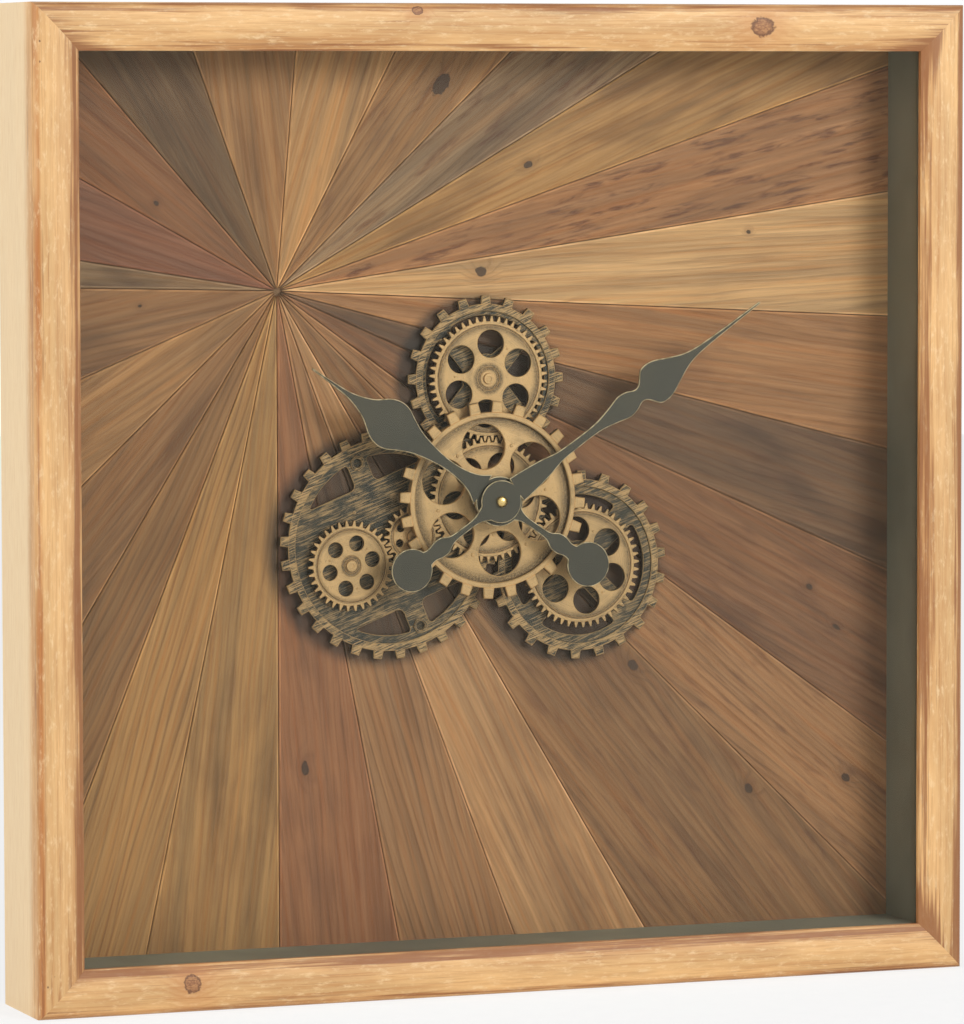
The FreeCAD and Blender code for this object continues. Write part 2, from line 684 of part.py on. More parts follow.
def make_pinned_gear(label, place, teeth, tooth_turn, hole_radius, hole_ring, hole_turn):
    body = new_body(label)
    fine_blank(body, teeth, tooth_turn)
    cut_hole_ring(body, hole_radius, hole_ring, hole_turn, size.gear_thickness)
    boss_reach = (size.wheel_back_depth - size.web_thickness - size.gear_depth
                  - size.gear_thickness - size.end_play)
    boss = sketch_on(body)
    draw_circle(boss, size.gear_boss_radius)
    pad(body, boss, boss_reach, downwards=True)
    cut_bore(body, size.pin_radius + size.turning_play, -boss_reach, size.gear_thickness)
    height = hub_height + place[1]
    sub_part(body, label, front_view(place[0], size.gear_depth + size.gear_thickness, height))


top_turn = half_tooth_phase(90.0, size.large_teeth, size.centre_tooth_turn, size.large_teeth)
right_turn = half_tooth_phase(size.right_direction, size.large_teeth, size.centre_tooth_turn,
                              size.large_teeth)
idler_turn = half_tooth_phase(size.left_direction, size.large_teeth, size.centre_tooth_turn,
                              size.idler_teeth)
left_turn = half_tooth_phase(size.left_direction, size.idler_teeth, idler_turn, size.left_teeth)
make_pinned_gear("top_gear", TOP_GEAR, size.large_teeth, top_turn, size.large_hole_radius,
                 size.large_hole_ring, size.top_hole_turn)
make_pinned_gear("right_gear", RIGHT_GEAR, size.large_teeth, right_turn, size.large_hole_radius,
                 size.large_hole_ring, size.right_hole_turn)
make_pinned_gear("idler_gear", IDLER, size.idler_teeth, idler_turn, size.idler_hole_radius,
                 size.idler_hole_ring, size.idler_hole_turn)
make_pinned_gear("left_gear", LEFT_GEAR, size.left_teeth, left_turn, size.left_hole_radius,
                 size.left_hole_ring, size.left_hole_turn)


def make_gear_pins():
    """Headed pins pressed into the wheels, one for each gear that turns off the centre."""
    back = size.wheel_back_depth
    front = size.gear_depth - size.end_play
    body = new_body("pin_master")
    profile = sketch_on(body, "XZ_Plane")
    length = back - front
    draw_outline(profile, [(0.0, 0.0), (size.pin_radius, 0.0), (size.pin_radius, length),
                           (size.pin_head_radius, length),
                           (size.pin_radius, length + size.pin_head_height),
                           (0.0, length + size.pin_head_height)])
    revolve(body, profile)
    spots = [front_view(right, back, hub_height + up)
             for right, up in (TOP_GEAR, RIGHT_GEAR, IDLER, LEFT_GEAR)]
    group_of("gear_pins", body, spots)


make_gear_pins()


def make_collar_nuts():
    """Hexagonal collars on the front of the left wheel, over its two screws."""
    body = new_body("collar_master")
    hexagon = sketch_on(body)
    corners = [(cosine(turn) * size.collar_corner_radius, sine(turn) * size.collar_corner_radius)
               for turn in (30.0, 90.0, 150.0, 210.0, 270.0, 330.0)]
    draw_outline(hexagon, corners)
    draw_circle(hexagon, size.collar_hole_radius)
    pad(body, hexagon, size.collar_height)
    depth = size.wheel_back_depth - size.web_thickness
    spots = [front_view(LEFT_WHEEL[0] + right, depth, hub_height + LEFT_WHEEL[1] + up)
             for right, up in wheel_screw_spots(left_bolts)]
    group_of("collar_nuts", body, spots)


make_collar_nuts()


# Centre gear, its fine gear and the sleeve that carries both

def make_centre_gear():
    body = new_body("centre_gear")
    back = size.gear_depth - size.centre_depth - size.centre_thickness
    profile = sketch_on(body, "XZ_Plane")
    bore = size.sleeve_radius + size.fixed_play
    draw_outline(profile, [
        (bore, -back), (size.centre_boss_radius, -back), (size.centre_boss_radius, 0.0),
        (size.centre_root, 0.0), (size.centre_root, size.centre_thickness),
        (size.centre_rim, size.centre_thickness),
        (size.centre_rim, size.centre_dish_edge),
        (size.centre_hub_radius, size.centre_dish_hub), (bore, size.centre_dish_hub)])
    revolve(body, profile)
    tooth = sketch_on(body, turn=size.centre_turn)
    draw_tooth(tooth, size.centre_root, size.centre_tip, size.centre_tooth_root_width,
               size.centre_tooth_tip_width)
    repeat_round(body, pad(body, tooth, size.centre_thickness), size.centre_teeth)
    cut_hole_ring(body, size.centre_hole_radius, size.centre_hole_ring, size.centre_hole_turn,
                  size.centre_thickness)
    depth = size.centre_depth + size.centre_thickness
    sub_part(body, "centre_gear", front_view(0.0, depth, hub_height))


def make_centre_fine_gear():
    body = new_body("centre_fine_gear")
    fine_blank(body, size.large_teeth, size.centre_tooth_turn)
    cut_hole_ring(body, size.large_hole_radius, size.large_hole_ring, size.centre_fine_hole_turn,
                  size.gear_thickness)
    cut_bore(body, size.sleeve_radius + size.fixed_play, Size("0", 0.0), size.gear_thickness)
    depth = size.gear_depth + size.gear_thickness
    sub_part(body, "centre_fine_gear", front_view(0.0, depth, hub_height))


plank_back_depth = size.panel_depth + size.plank_thickness
board_back_depth = plank_back_depth + size.board_thickness
case_front_depth = plank_back_depth + size.case_gap


def make_sleeve():
    back = case_front_depth + size.sleeve_seat - size.end_play
    item = tube("sleeve", size.sleeve_radius, size.bushing_radius + size.turning_play,
                back - size.sleeve_front_depth)
    sub_part(item, "drive_sleeve", front_view(0.0, back, hub_height))


make_centre_gear()
make_centre_fine_gear()
make_sleeve()


# Arbors of the movement

def make_hour_tube():
    back = size.arbor_back_depth
    front = size.hour_hand_depth - size.hour_collar
    item = tube("hour", size.hour_tube_radius, size.hour_tube_bore, back - front)
    sub_part(item, "hour_tube", front_view(0.0, back, hub_height))


def make_minute_arbor():
    back = size.arbor_back_depth
    item = cylinder("arbor", size.arbor_radius, back - size.minute_hand_depth)
    sub_part(item, "minute_arbor", front_view(0.0, back, hub_height))


def make_hand_cap():
    """Round brass cap in front of the minute hand."""
    body = new_body("hand_cap")
    profile = sketch_on(body, "XZ_Plane")
    draw_outline(profile, [(0.0, 0.0), (size.cap_radius, 0.0),
                           (size.cap_radius, size.cap_height - size.cap_bevel),
                           (size.cap_radius - size.cap_bevel, size.cap_height),
                           (0.0, size.cap_height)])
    revolve(body, profile)
    sub_part(body, "hand_cap", front_view(0.0, size.minute_hand_depth, hub_height))


make_hour_tube()
make_minute_arbor()
make_hand_cap()


# Hands: a leaf-shaped arm, a round hub and a round counterweight on a narrow tail

def arm_face(shares, length, half_width):
    """A symmetric arm along +x through the outline's stations."""
    upper = [Vector(along * length, across * half_width, 0) for along, across in shares]
    lower = [Vector(point.x, -point.y, 0) for point in reversed(upper)]
    return Part.Face(Part.makePolygon(upper + lower + [upper[0]]))


def make_hand(label, shares, sizes_of_hand, bore, depth, direction):
    length, half_width, hub_radius, tail, tail_radius = [float(item) for item in sizes_of_hand]
    thickness = float(size.hand_thickness)
    up = Vector(0, 0, thickness)
    arm = arm_face(shares, length, half_width).extrude(up)
    tail_arm = arm_face(TAIL_OUTLINE_SHARES, tail, tail_radius).extrude(up)
    tail_arm.rotate(Vector(0, 0, 0), Vector(0, 0, 1), 180)
    hub = Part.makeCylinder(hub_radius, thickness)
    weight = Part.makeCylinder(tail_radius, thickness, Vector(-tail, 0, 0))
    hand = hub.multiFuse([arm, tail_arm, weight]).removeSplitter()
    hand = hand.cut(Part.makeCylinder(float(bore), thickness))
    item = doc.addObject("Part::Feature", label + "_plate")
    item.Shape = hand.Solids[0]
    back = depth + size.hand_thickness
    sub_part(item, label, front_view(0.0, back, hub_height, direction))


minute_direction = 90 - float(size.minutes_past_ten) * 6
hour_direction = 150 - float(size.minutes_past_ten) / 2
make_hand("minute_hand", MINUTE_OUTLINE_SHARES,
          (size.minute_length, size.minute_half_width, size.minute_hub_radius,
           size.minute_tail, size.minute_tail_radius),
          size.arbor_radius + size.fixed_play, size.minute_hand_depth, minute_direction)
make_hand("hour_hand", HOUR_OUTLINE_SHARES,
          (size.hour_length, size.hour_half_width, size.hour_hub_radius,
           size.hour_tail, size.hour_tail_radius),
          size.hour_tube_radius + size.fixed_play, size.hour_hand_depth, hour_direction)


# Plank panel: wedges that run out from one point to the edges of the panel

def panel_half_sizes():
    return (rebate_half_width - size.panel_play, rebate_half_height - size.panel_play)


def wheel_screw_places():
    """Wheel screws about the hub."""
    places = []
    for centre, bolts in ((LEFT_WHEEL, left_bolts), (TOP_GEAR, top_bolts), (RIGHT_GEAR, right_bolts)):
        for right, up in wheel_screw_spots(bolts):
            places.append((centre[0] + right, centre[1] + up))
    return places


def board_screw_places():
    """Screws through the board and planks into the liners, about the panel's middle."""
    across = rebate_half_width - size.board_screw_inset
    upward = rebate_half_height - size.board_screw_inset
    places = []
    for side in (-1, 1):
        for end in (-1, 1):
            places.append((screws_across * side, upward * end))
            places.append((across * side, screws_upward * end))
    return places


def ray_to_edge(start, direction, half_width, half_height):
    """Where a ray from inside the panel meets the panel's edge."""
    run = math.cos(math.radians(direction))
    rise = math.sin(math.radians(direction))
    reaches = []
    if run:
        reaches.append((math.copysign(half_width, run) - start.x) / run)
    if rise:
        reaches.append((math.copysign(half_height, rise) - start.y) / rise)
    return start + Vector(run, rise, 0) * min(reaches)


def plank_outline(first, last, half_width, half_height):
    burst = Vector(-float(size.frame_width * size.burst_left_share),
                   float(size.frame_height * size.burst_up_share), 0)
    spread = (last - first) % 360
    middle = math.radians(first + spread / 2)
    shift = float(size.plank_joint) / 2 / math.sin(math.radians(spread / 2))
    apex = burst + Vector(math.cos(middle), math.sin(middle), 0) * shift
    corners = []
    for right in (-half_width, half_width):
        for up in (-half_height, half_height):
            turn = math.degrees(math.atan2(up - apex.y, right - apex.x))
            if 0 < (turn - first) % 360 < spread:
                corners.append(((turn - first) % 360, Vector(right, up, 0)))
    points = [apex, ray_to_edge(apex, first, half_width, half_height)]
    points += [corner for turn, corner in sorted(corners, key=lambda item: item[0])]
    points += [ray_to_edge(apex, last, half_width, half_height), apex]
    return points


def make_planks():
    half_width, half_height = [float(item) for item in panel_half_sizes()]
    thickness = float(size.plank_thickness)
    hub_up = float(hub_height) - float(middle_height)
    hole = Part.makeCylinder(float(size.panel_hole_radius), thickness, Vector(0, hub_up, 0))
    radius = float(size.wheel_screw_radius + size.fixed_play)
    tools = [Part.makeCylinder(radius, thickness, Vector(float(right), float(up) + hub_up, 0))
             for right, up in wheel_screw_places()]
    radius = float(size.wood_screw_radius + size.fixed_play)
    tools += [Part.makeCylinder(radius, thickness, Vector(float(right), float(up), 0))
              for right, up in board_screw_places()]
    for number, first in enumerate(PLANK_JOINTS):
        last = PLANK_JOINTS[(number + 1) % len(PLANK_JOINTS)]
        points = plank_outline(first, last, half_width, half_height)
        plank = Part.Face(Part.makePolygon(points)).extrude(Vector(0, 0, thickness))
        for tool in [hole] + tools:
            if plank.common(tool).Volume > 0:
                plank = plank.cut(tool)
        item = doc.addObject("Part::Feature", "plank_%02d_wedge" % (number + 1))
        item.Shape = plank.Solids[0]
        place = front_view(0.0, plank_back_depth, middle_height)
        sub_part(item, "plank_%02d" % (number + 1), place)


make_planks()


def make_back_board():
    body = new_body("back_board")
    half_width, half_height = panel_half_sizes()
    sheet_outline = sketch_on(body)
    draw_rectangle(sheet_outline, -half_width, half_width, -half_height, half_height)
    pad(body, sheet_outline, size.board_thickness)
    hub_up = hub_height - middle_height
    opening = sketch_on(body, "XY_Plane", size.board_thickness)
    across = size.case_width / 2 + size.case_opening_play
    upward = size.case_height / 2 + size.case_opening_play
    draw_rectangle(opening, -across, across, hub_up - upward, hub_up + upward)
    pocket(body, opening, size.board_thickness)
    holes = sketch_on(body, "XY_Plane", size.board_thickness)
    for right, up in wheel_screw_places():
        draw_circle(holes, size.wheel_screw_radius + size.fixed_play, right, hub_up + up)
    for right, up in board_screw_places():
        draw_circle(holes, size.wood_screw_radius + size.fixed_play, right, up)
    for right in (-size.flange_screw_across, size.flange_screw_across):
        for up in (-size.flange_screw_up, size.flange_screw_up):
            draw_circle(holes, size.wood_screw_radius + size.fixed_play, right, hub_up + up)
    pocket(body, holes, size.board_thickness)
    sub_part(body, "back_board", front_view(0.0, board_back_depth, middle_height))


make_back_board()


# Movement case, drawn as seen from the back with its front face at z = 0

case_thickness = size.case_back_depth - case_front_depth
bay_length = size.cell_length + size.cell_tip_length + size.cell_play * 2
bay_width = (size.cell_radius + size.cell_play) * 2
clock_bay = [(size.bay_side, -size.bay_drop)]
drive_bays = [(-size.bay_side, -size.bay_drop),
              (-size.bay_side, -size.bay_drop + bay_width + size.bay_wall)]
cover_left = -size.bay_side - bay_length / 2 - size.cover_margin
cover_right = -size.bay_side + bay_length / 2 + size.cover_margin
cover_top = drive_bays[1][1] + bay_width / 2 + size.cover_margin


def rounded_rectangle(sketch, half_width, half_height, corner):
    draw_outline(sketch, [
        (-half_width + corner, -half_height), (half_width - corner, -half_height, corner, -1),
        (half_width, -half_height + corner), (half_width, half_height - corner, corner, -1),
        (half_width - corner, half_height), (-half_width + corner, half_height, corner, -1),
        (-half_width, half_height - corner), (-half_width, -half_height + corner, corner, -1)])


def make_case():
    body = new_body("movement_case")
    shell = sketch_on(body)
    rounded_rectangle(shell, size.case_width / 2, size.case_height / 2, size.case_corner)
    pad(body, shell, case_thickness)
    flange_base = board_back_depth - case_front_depth
    flange = sketch_on(body, "XY_Plane", flange_base)
    rounded_rectangle(flange, size.case_width / 2, size.flange_height / 2, size.case_corner)
    pad(body, flange, size.flange_thickness)
    bays = sketch_on(body, "XY_Plane", case_thickness)
    for right, up in clock_bay + drive_bays:
        draw_rectangle(bays, right - bay_length / 2, right + bay_length / 2,
                       up - bay_width / 2, up + bay_width / 2)
    pocket(body, bays, size.cell_radius * 2 + size.cell_play + size.cover_thickness
           + size.cover_play)
    seat = sketch_on(body, "XY_Plane", case_thickness)
    draw_rectangle(seat, cover_left - size.cover_play, cover_right + size.cover_play,
                   -size.case_height / 2 - size.overrun, cover_top + size.cover_play)
    pocket(body, seat, size.cover_thickness + size.cover_play)
    dial = sketch_on(body, "XY_Plane", case_thickness)
    draw_circle(dial, size.knob_recess_radius, 0.0, size.knob_up)
    pocket(body, dial, size.knob_recess)
    stem = sketch_on(body, "XY_Plane", case_thickness - size.knob_recess)
    draw_circle(stem, size.knob_stem_radius + size.turning_play, 0.0, size.knob_up)
    pocket(body, stem, size.knob_stem + size.end_play)
    socket = sketch_on(body, "XY_Plane", size.sleeve_seat)
    draw_circle(socket, size.sleeve_radius + size.turning_play)
    pocket(body, socket, size.sleeve_seat + size.overrun)
    bushing = sketch_on(body, "XY_Plane", size.sleeve_seat)
    draw_circle(bushing, size.bushing_radius)
    reach = case_front_depth + size.sleeve_seat - size.bushing_front_depth
    pad(body, bushing, reach, downwards=True)
    bore = sketch_on(body, "XY_Plane", size.arbor_seat)
    draw_circle(bore, size.bushing_bore)
    pocket(body, bore, size.arbor_seat + case_front_depth - size.bushing_front_depth
           + size.overrun)
    holes = sketch_on(body, "XY_Plane", flange_base + size.flange_thickness + size.overrun)
    for right in (-size.flange_screw_across, size.flange_screw_across):
        for up in (-size.flange_screw_up, size.flange_screw_up):
            draw_circle(holes, size.wood_screw_radius + size.fixed_play, right, up)
    pocket(body, holes, size.flange_thickness + size.overrun * 2)
    sub_part(body, "movement_case", back_view(0.0, case_front_depth, hub_height))


def make_battery_cover():
    """Sliding cover over the two cells that drive the gears."""
    body = new_body("battery_cover")
    plate = sketch_on(body)
    draw_rectangle(plate, cover_left, cover_right, -size.case_height / 2, cover_top)
    pad(body, plate, size.cover_thickness)
    for number in range(int(size.grip_count.value)):
        grip = sketch_on(body, "XY_Plane", size.cover_thickness)
        low = -size.case_height / 2 + size.grip_pitch * (number + 1)
        draw_rectangle(grip, -size.bay_side - size.grip_width / 2,
                       -size.bay_side + size.grip_width / 2, low, low + size.grip_height)
        pocket(body, grip, size.grip_cut)
    depth = size.case_back_depth - size.cover_thickness
    sub_part(body, "battery_cover", back_view(0.0, depth, hub_height))


def make_cells():
    """Three round cells lying along x, each with a small contact at one end."""
    body = new_body("cell_master")
    profile = sketch_on(body, "XZ_Plane")
    draw_outline(profile, [(0.0, 0.0), (size.cell_radius, 0.0),
                           (size.cell_radius, size.cell_length),
                           (size.cell_tip_radius, size.cell_length),
                           (size.cell_tip_radius, size.cell_length + size.cell_tip_length),
                           (0.0, size.cell_length + size.cell_tip_length)])
    revolve(body, profile)
    depth = size.case_back_depth - size.cover_thickness - size.cover_play - size.cell_radius
    spots = []
    for number, (right, up) in enumerate(clock_bay + drive_bays):
        way = -1 if number == 2 else 1
        start = -right - (size.cell_length + size.cell_tip_length) / 2 * way
        base = Vector(float(start), float(depth) - float(size.frame_depth) / 2,
                      float(hub_height + up))
        spots.append(Placement(base, Rotation(Vector(0, 1, 0), 90 * way)))
    group_of("battery_cells", body, spots)


def make_set_knob():
    """Notched knob that sets the hands, sunk in the back of the case."""
    body = new_body("set_knob")
    disc = sketch_on(body)
    draw_circle(disc, size.knob_radius)
    pad(body, disc, size.knob_height)
    notch = sketch_on(body, "XY_Plane", size.knob_height + size.overrun)
    draw_circle(notch, size.knob_notch_radius, size.knob_radius)
    cut = pocket(body, notch, size.knob_height + size.overrun * 2)
    repeat_round(body, cut, size.knob_notches)
    stem = sketch_on(body)
    draw_circle(stem, size.knob_stem_radius)
    reach = size.knob_stem + size.knob_recess - size.knob_height - size.end_play
    pad(body, stem, reach, downwards=True)
    depth = size.case_back_depth - size.knob_height - size.end_play
    sub_part(body, "set_knob", back_view(0.0, depth, hub_height + size.knob_up))


make_case()
make_battery_cover()
make_cells()
make_set_knob()


# Screws

def draw_octagon(sketch, radius):
    turns = [45.0 * number for number in range(8)]
    draw_outline(sketch, [(cosine(turn) * radius, sine(turn) * radius) for turn in turns])


def screw_master(name, radius, length):
    """A screw along z, its head above z = 0 and its shank below."""
    body = new_body(name)
    shank = sketch_on(body)
    draw_octagon(shank, radius)
    pad(body, shank, length, downwards=True)
    head = sketch_on(body)
    draw_octagon(head, size.screw_head_radius)
    pad(body, head, size.screw_head_height)
    return body


def make_wheel_screws():
    reach = size.board_thickness + size.plank_thickness + size.panel_depth - size.wheel_back_depth
    master = screw_master("wheel_screw_master", size.wheel_screw_radius, reach)
    spots = [back_view(right, board_back_depth, hub_height + up)
             for right, up in wheel_screw_places()]
    group_of("wheel_screws", master, spots)


def make_wood_screws():
    """Screws that hold the board to the liners and the keyhole plates to the top rail."""
    master = screw_master("wood_screw_master", size.wood_screw_radius,
                          size.wood_screw_bite - size.end_play)
    spots = [back_view(right, board_back_depth, middle_height + up)
             for right, up in board_screw_places()]
    for side in (-1, 1):
        for end in (-1, 1):
            right = hanger_side * side + size.hanger_screw_side * end
            spots.append(back_view(right, size.frame_depth - size.hanger_sink,
                                   size.frame_height - size.hanger_drop))
    group_of("wood_screws", master, spots)


def make_case_screws():
    """Short screws that hold the flange of the case to the board."""
    master = screw_master("case_screw_master", size.wood_screw_radius,
                          size.flange_thickness + size.board_thickness - size.end_play)
    depth = board_back_depth + size.flange_thickness
    spots = [back_view(right, depth, hub_height + up)
             for right in (-size.flange_screw_across, size.flange_screw_across)
             for up in (-size.flange_screw_up, size.flange_screw_up)]
    group_of("case_screws", master, spots)


make_wheel_screws()
make_wood_screws()
make_case_screws()


# Keyhole plates in the back of the top rail

def make_hangers():
    body = new_body("hanger_master")
    plate = sketch_on(body)
    rounded_rectangle(plate, size.hanger_width / 2, size.hanger_height / 2, size.hanger_corner)
    pad(body, plate, size.hanger_thickness)
    top = size.hanger_thickness + size.overrun
    key = sketch_on(body, "XY_Plane", top)
    draw_circle(key, size.key_radius, 0.0, -size.key_drop)
    pocket(body, key, top + size.overrun)
    slot = sketch_on(body, "XY_Plane", top)
    draw_rectangle(slot, -size.key_slot_half, size.key_slot_half, -size.key_drop,
                   size.key_slot_up - size.key_drop)
    pocket(body, slot, top + size.overrun)
    slot_end = sketch_on(body, "XY_Plane", top)
    draw_circle(slot_end, size.key_slot_half, 0.0, size.key_slot_up - size.key_drop)
    pocket(body, slot_end, top + size.overrun)
    screws = sketch_on(body, "XY_Plane", top)
    for side in (-1, 1):
        draw_circle(screws, size.wood_screw_radius + size.fixed_play,
                    size.hanger_screw_side * side)
    pocket(body, screws, top + size.overrun)
    depth = size.frame_depth - size.hanger_sink - size.hanger_thickness
    height = size.frame_height - size.hanger_drop
    spots = [back_view(hanger_side * side, depth, height) for side in (-1, 1)]
    group_of("hanger_plates", body, spots)


make_hangers()


# Check every object, then write each sub-part

doc.recompute()
failed = [item.Label for item in doc.Objects
          if "Invalid" in item.State or "Error" in item.State]
for item in SUB_PARTS:
    if item.Shape.isNull() or not item.Shape.isValid() or not item.Shape.Solids:
        failed.append(item.Label)
if failed:
    raise RuntimeError("these did not build: " + ", ".join(failed))

os.makedirs("parts", exist_ok=True)
for item in SUB_PARTS:
    item.Shape.exportStep("parts/%s.step" % item.Label)
print("%d sub-parts, %d solids" % (len(SUB_PARTS), sum(len(item.Shape.Solids) for item in SUB_PARTS)))
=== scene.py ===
import math
import random

import bmesh
import bpy
from bpy.props import FloatProperty, FloatVectorProperty, IntProperty, PointerProperty
from mathutils import Matrix, Vector
from mathutils.geometry import tessellate_polygon


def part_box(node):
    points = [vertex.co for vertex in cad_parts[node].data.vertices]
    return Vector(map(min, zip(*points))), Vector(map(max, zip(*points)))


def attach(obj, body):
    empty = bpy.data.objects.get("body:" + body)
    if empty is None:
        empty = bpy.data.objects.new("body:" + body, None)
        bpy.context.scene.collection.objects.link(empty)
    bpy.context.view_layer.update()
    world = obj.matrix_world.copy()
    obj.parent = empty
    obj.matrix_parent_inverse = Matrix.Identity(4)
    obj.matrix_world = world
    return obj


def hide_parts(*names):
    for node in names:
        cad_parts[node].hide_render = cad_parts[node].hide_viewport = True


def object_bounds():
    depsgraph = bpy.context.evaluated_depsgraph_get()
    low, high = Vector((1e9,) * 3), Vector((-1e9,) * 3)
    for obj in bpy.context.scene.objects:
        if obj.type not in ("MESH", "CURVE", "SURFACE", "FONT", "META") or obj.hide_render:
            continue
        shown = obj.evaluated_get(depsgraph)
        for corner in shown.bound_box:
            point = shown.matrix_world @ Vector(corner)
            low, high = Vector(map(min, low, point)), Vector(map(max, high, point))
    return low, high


bl_info = {
    "name": "Wooden gear clock",
    "version": (1, 0, 0),
    "blender": (4, 5, 0),
    "location": "View3D > Sidebar > Gear clock",
    "description": "Dresses the packed solids of a square wooden gear clock",
    "category": "Object",
}

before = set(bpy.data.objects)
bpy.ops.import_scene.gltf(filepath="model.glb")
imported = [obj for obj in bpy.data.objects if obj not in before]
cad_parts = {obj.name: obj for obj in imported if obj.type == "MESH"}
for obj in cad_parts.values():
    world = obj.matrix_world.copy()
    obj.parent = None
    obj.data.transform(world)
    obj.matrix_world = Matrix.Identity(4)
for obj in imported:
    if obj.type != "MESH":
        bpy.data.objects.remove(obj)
CAD_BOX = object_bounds()

MM = 0.001
DEPTH = 0.074
FRONT = CAD_BOX[1][1] - DEPTH
WIDTH = CAD_BOX[1][0] - CAD_BOX[0][0]
HEIGHT = CAD_BOX[1][2] - CAD_BOX[0][2]
STILL = "case_and_frame"
# The hands' axis, right of and above the frame's bottom middle
AXIS = tuple(sum(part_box("hand_cap"), Vector()) / 2)[::2]


# Sizes and colours that a user would change

def length_value(name, about, default):
    return FloatProperty(name=name, description=about, default=default, unit="LENGTH")


def plain_value(name, about, default):
    return FloatProperty(name=name, description=about, default=default)


def whole_value(name, about, default):
    return IntProperty(name=name, description=about, default=default)


def colour_value(name, about, *default):
    return FloatVectorProperty(name=name, description=about, subtype="COLOR", size=4,
                               default=default + (1,))


class ClockFrameSizes(bpy.types.PropertyGroup):
    rail_width: length_value("Rail width", "Width of a rail's front", 0.0286)
    edge_round: length_value("Outer edge radius", "Rounding of the outer edge", 0.0045)
    slope_run: length_value("Slope width", "Width of the slope to the glass", 0.0096)
    lip_drop: length_value("Lip depth", "Depth of the lip's edge", 0.004)
    lip_width: length_value("Lip width", "How far the lip covers the glass", 0.0042)
    glass_depth: length_value("Glass depth", "Depth of the glass's front", 0.0075)


class ClockGearSizes(bpy.types.PropertyGroup):
    chamfer: length_value("Chamfer", "Bright worn edge of the metal", 0.00045)
    fine_module: length_value("Fine module", "Pitch diameter for each tooth", 0.00154)
    large_teeth: whole_value("Large gear teeth", "Teeth of the large fine gears", 48)
    left_teeth: whole_value("Left gear teeth", "Teeth of the left fine gear", 34)
    idler_teeth: whole_value("Idler teeth", "Teeth of the idler", 22)
    centre_teeth: whole_value("Centre gear teeth", "Square teeth at the centre", 24)


class ClockColours(bpy.types.PropertyGroup):
    pine: colour_value("Pine", "Ground colour of the frame's pine", 0.76, 0.465, 0.20)
    pine_dark: colour_value("Pine grain", "Late wood in the pine", 0.50, 0.215, 0.06)
    # The burnt colour is laid by a mask that also paints shade at the rails' arris and slope
    burnt: colour_value("Burnt edge", "Scorched streaks on the pine", 0.26, 0.09, 0.025)
    bronze: colour_value("Bronze", "Rubbed colour of the gears", 0.62, 0.40, 0.195)
    # The patina is also laid in rings by the rim and hub, partly as painted shade
    patina: colour_value("Patina", "Dark tarnish on the metal", 0.075, 0.05, 0.03)
    # A grey rather than the dark paint alone: the liner's colour also paints in the reflection of
    # the glass over it
    liner: colour_value("Liner", "Paint inside the frame", 0.27, 0.285, 0.25)


class ClockStage(bpy.types.PropertyGroup):
    key_strength: plain_value("Key light", "Share of the light from the key", 0.44)
    fill_strength: plain_value("Fill light", "Share of the light on the side", 0.36)
    sky_strength: plain_value("Surrounding light", "Share from all round", 0.5)
    lens: plain_value("Lens", "Focal length of the camera in millimetres", 210.69)


# Shader helper: an output socket that Python arithmetic can use

class Wire:
    def __init__(self, finish, socket):
        self.finish = finish
        self.socket = socket

    def maths(self, operation, *others):
        return self.finish.maths(operation, self, *others)

    def __add__(self, other):
        return self.maths("ADD", other)

    __radd__ = __add__

    def __sub__(self, other):
        return self.maths("SUBTRACT", other)

    def __rsub__(self, other):
        return self.finish.maths("SUBTRACT", other, self)

    def __mul__(self, other):
        return self.maths("MULTIPLY", other)

    __rmul__ = __mul__

    def __truediv__(self, other):
        return self.maths("DIVIDE", other)

    def __rtruediv__(self, other):
        return self.finish.maths("DIVIDE", other, self)


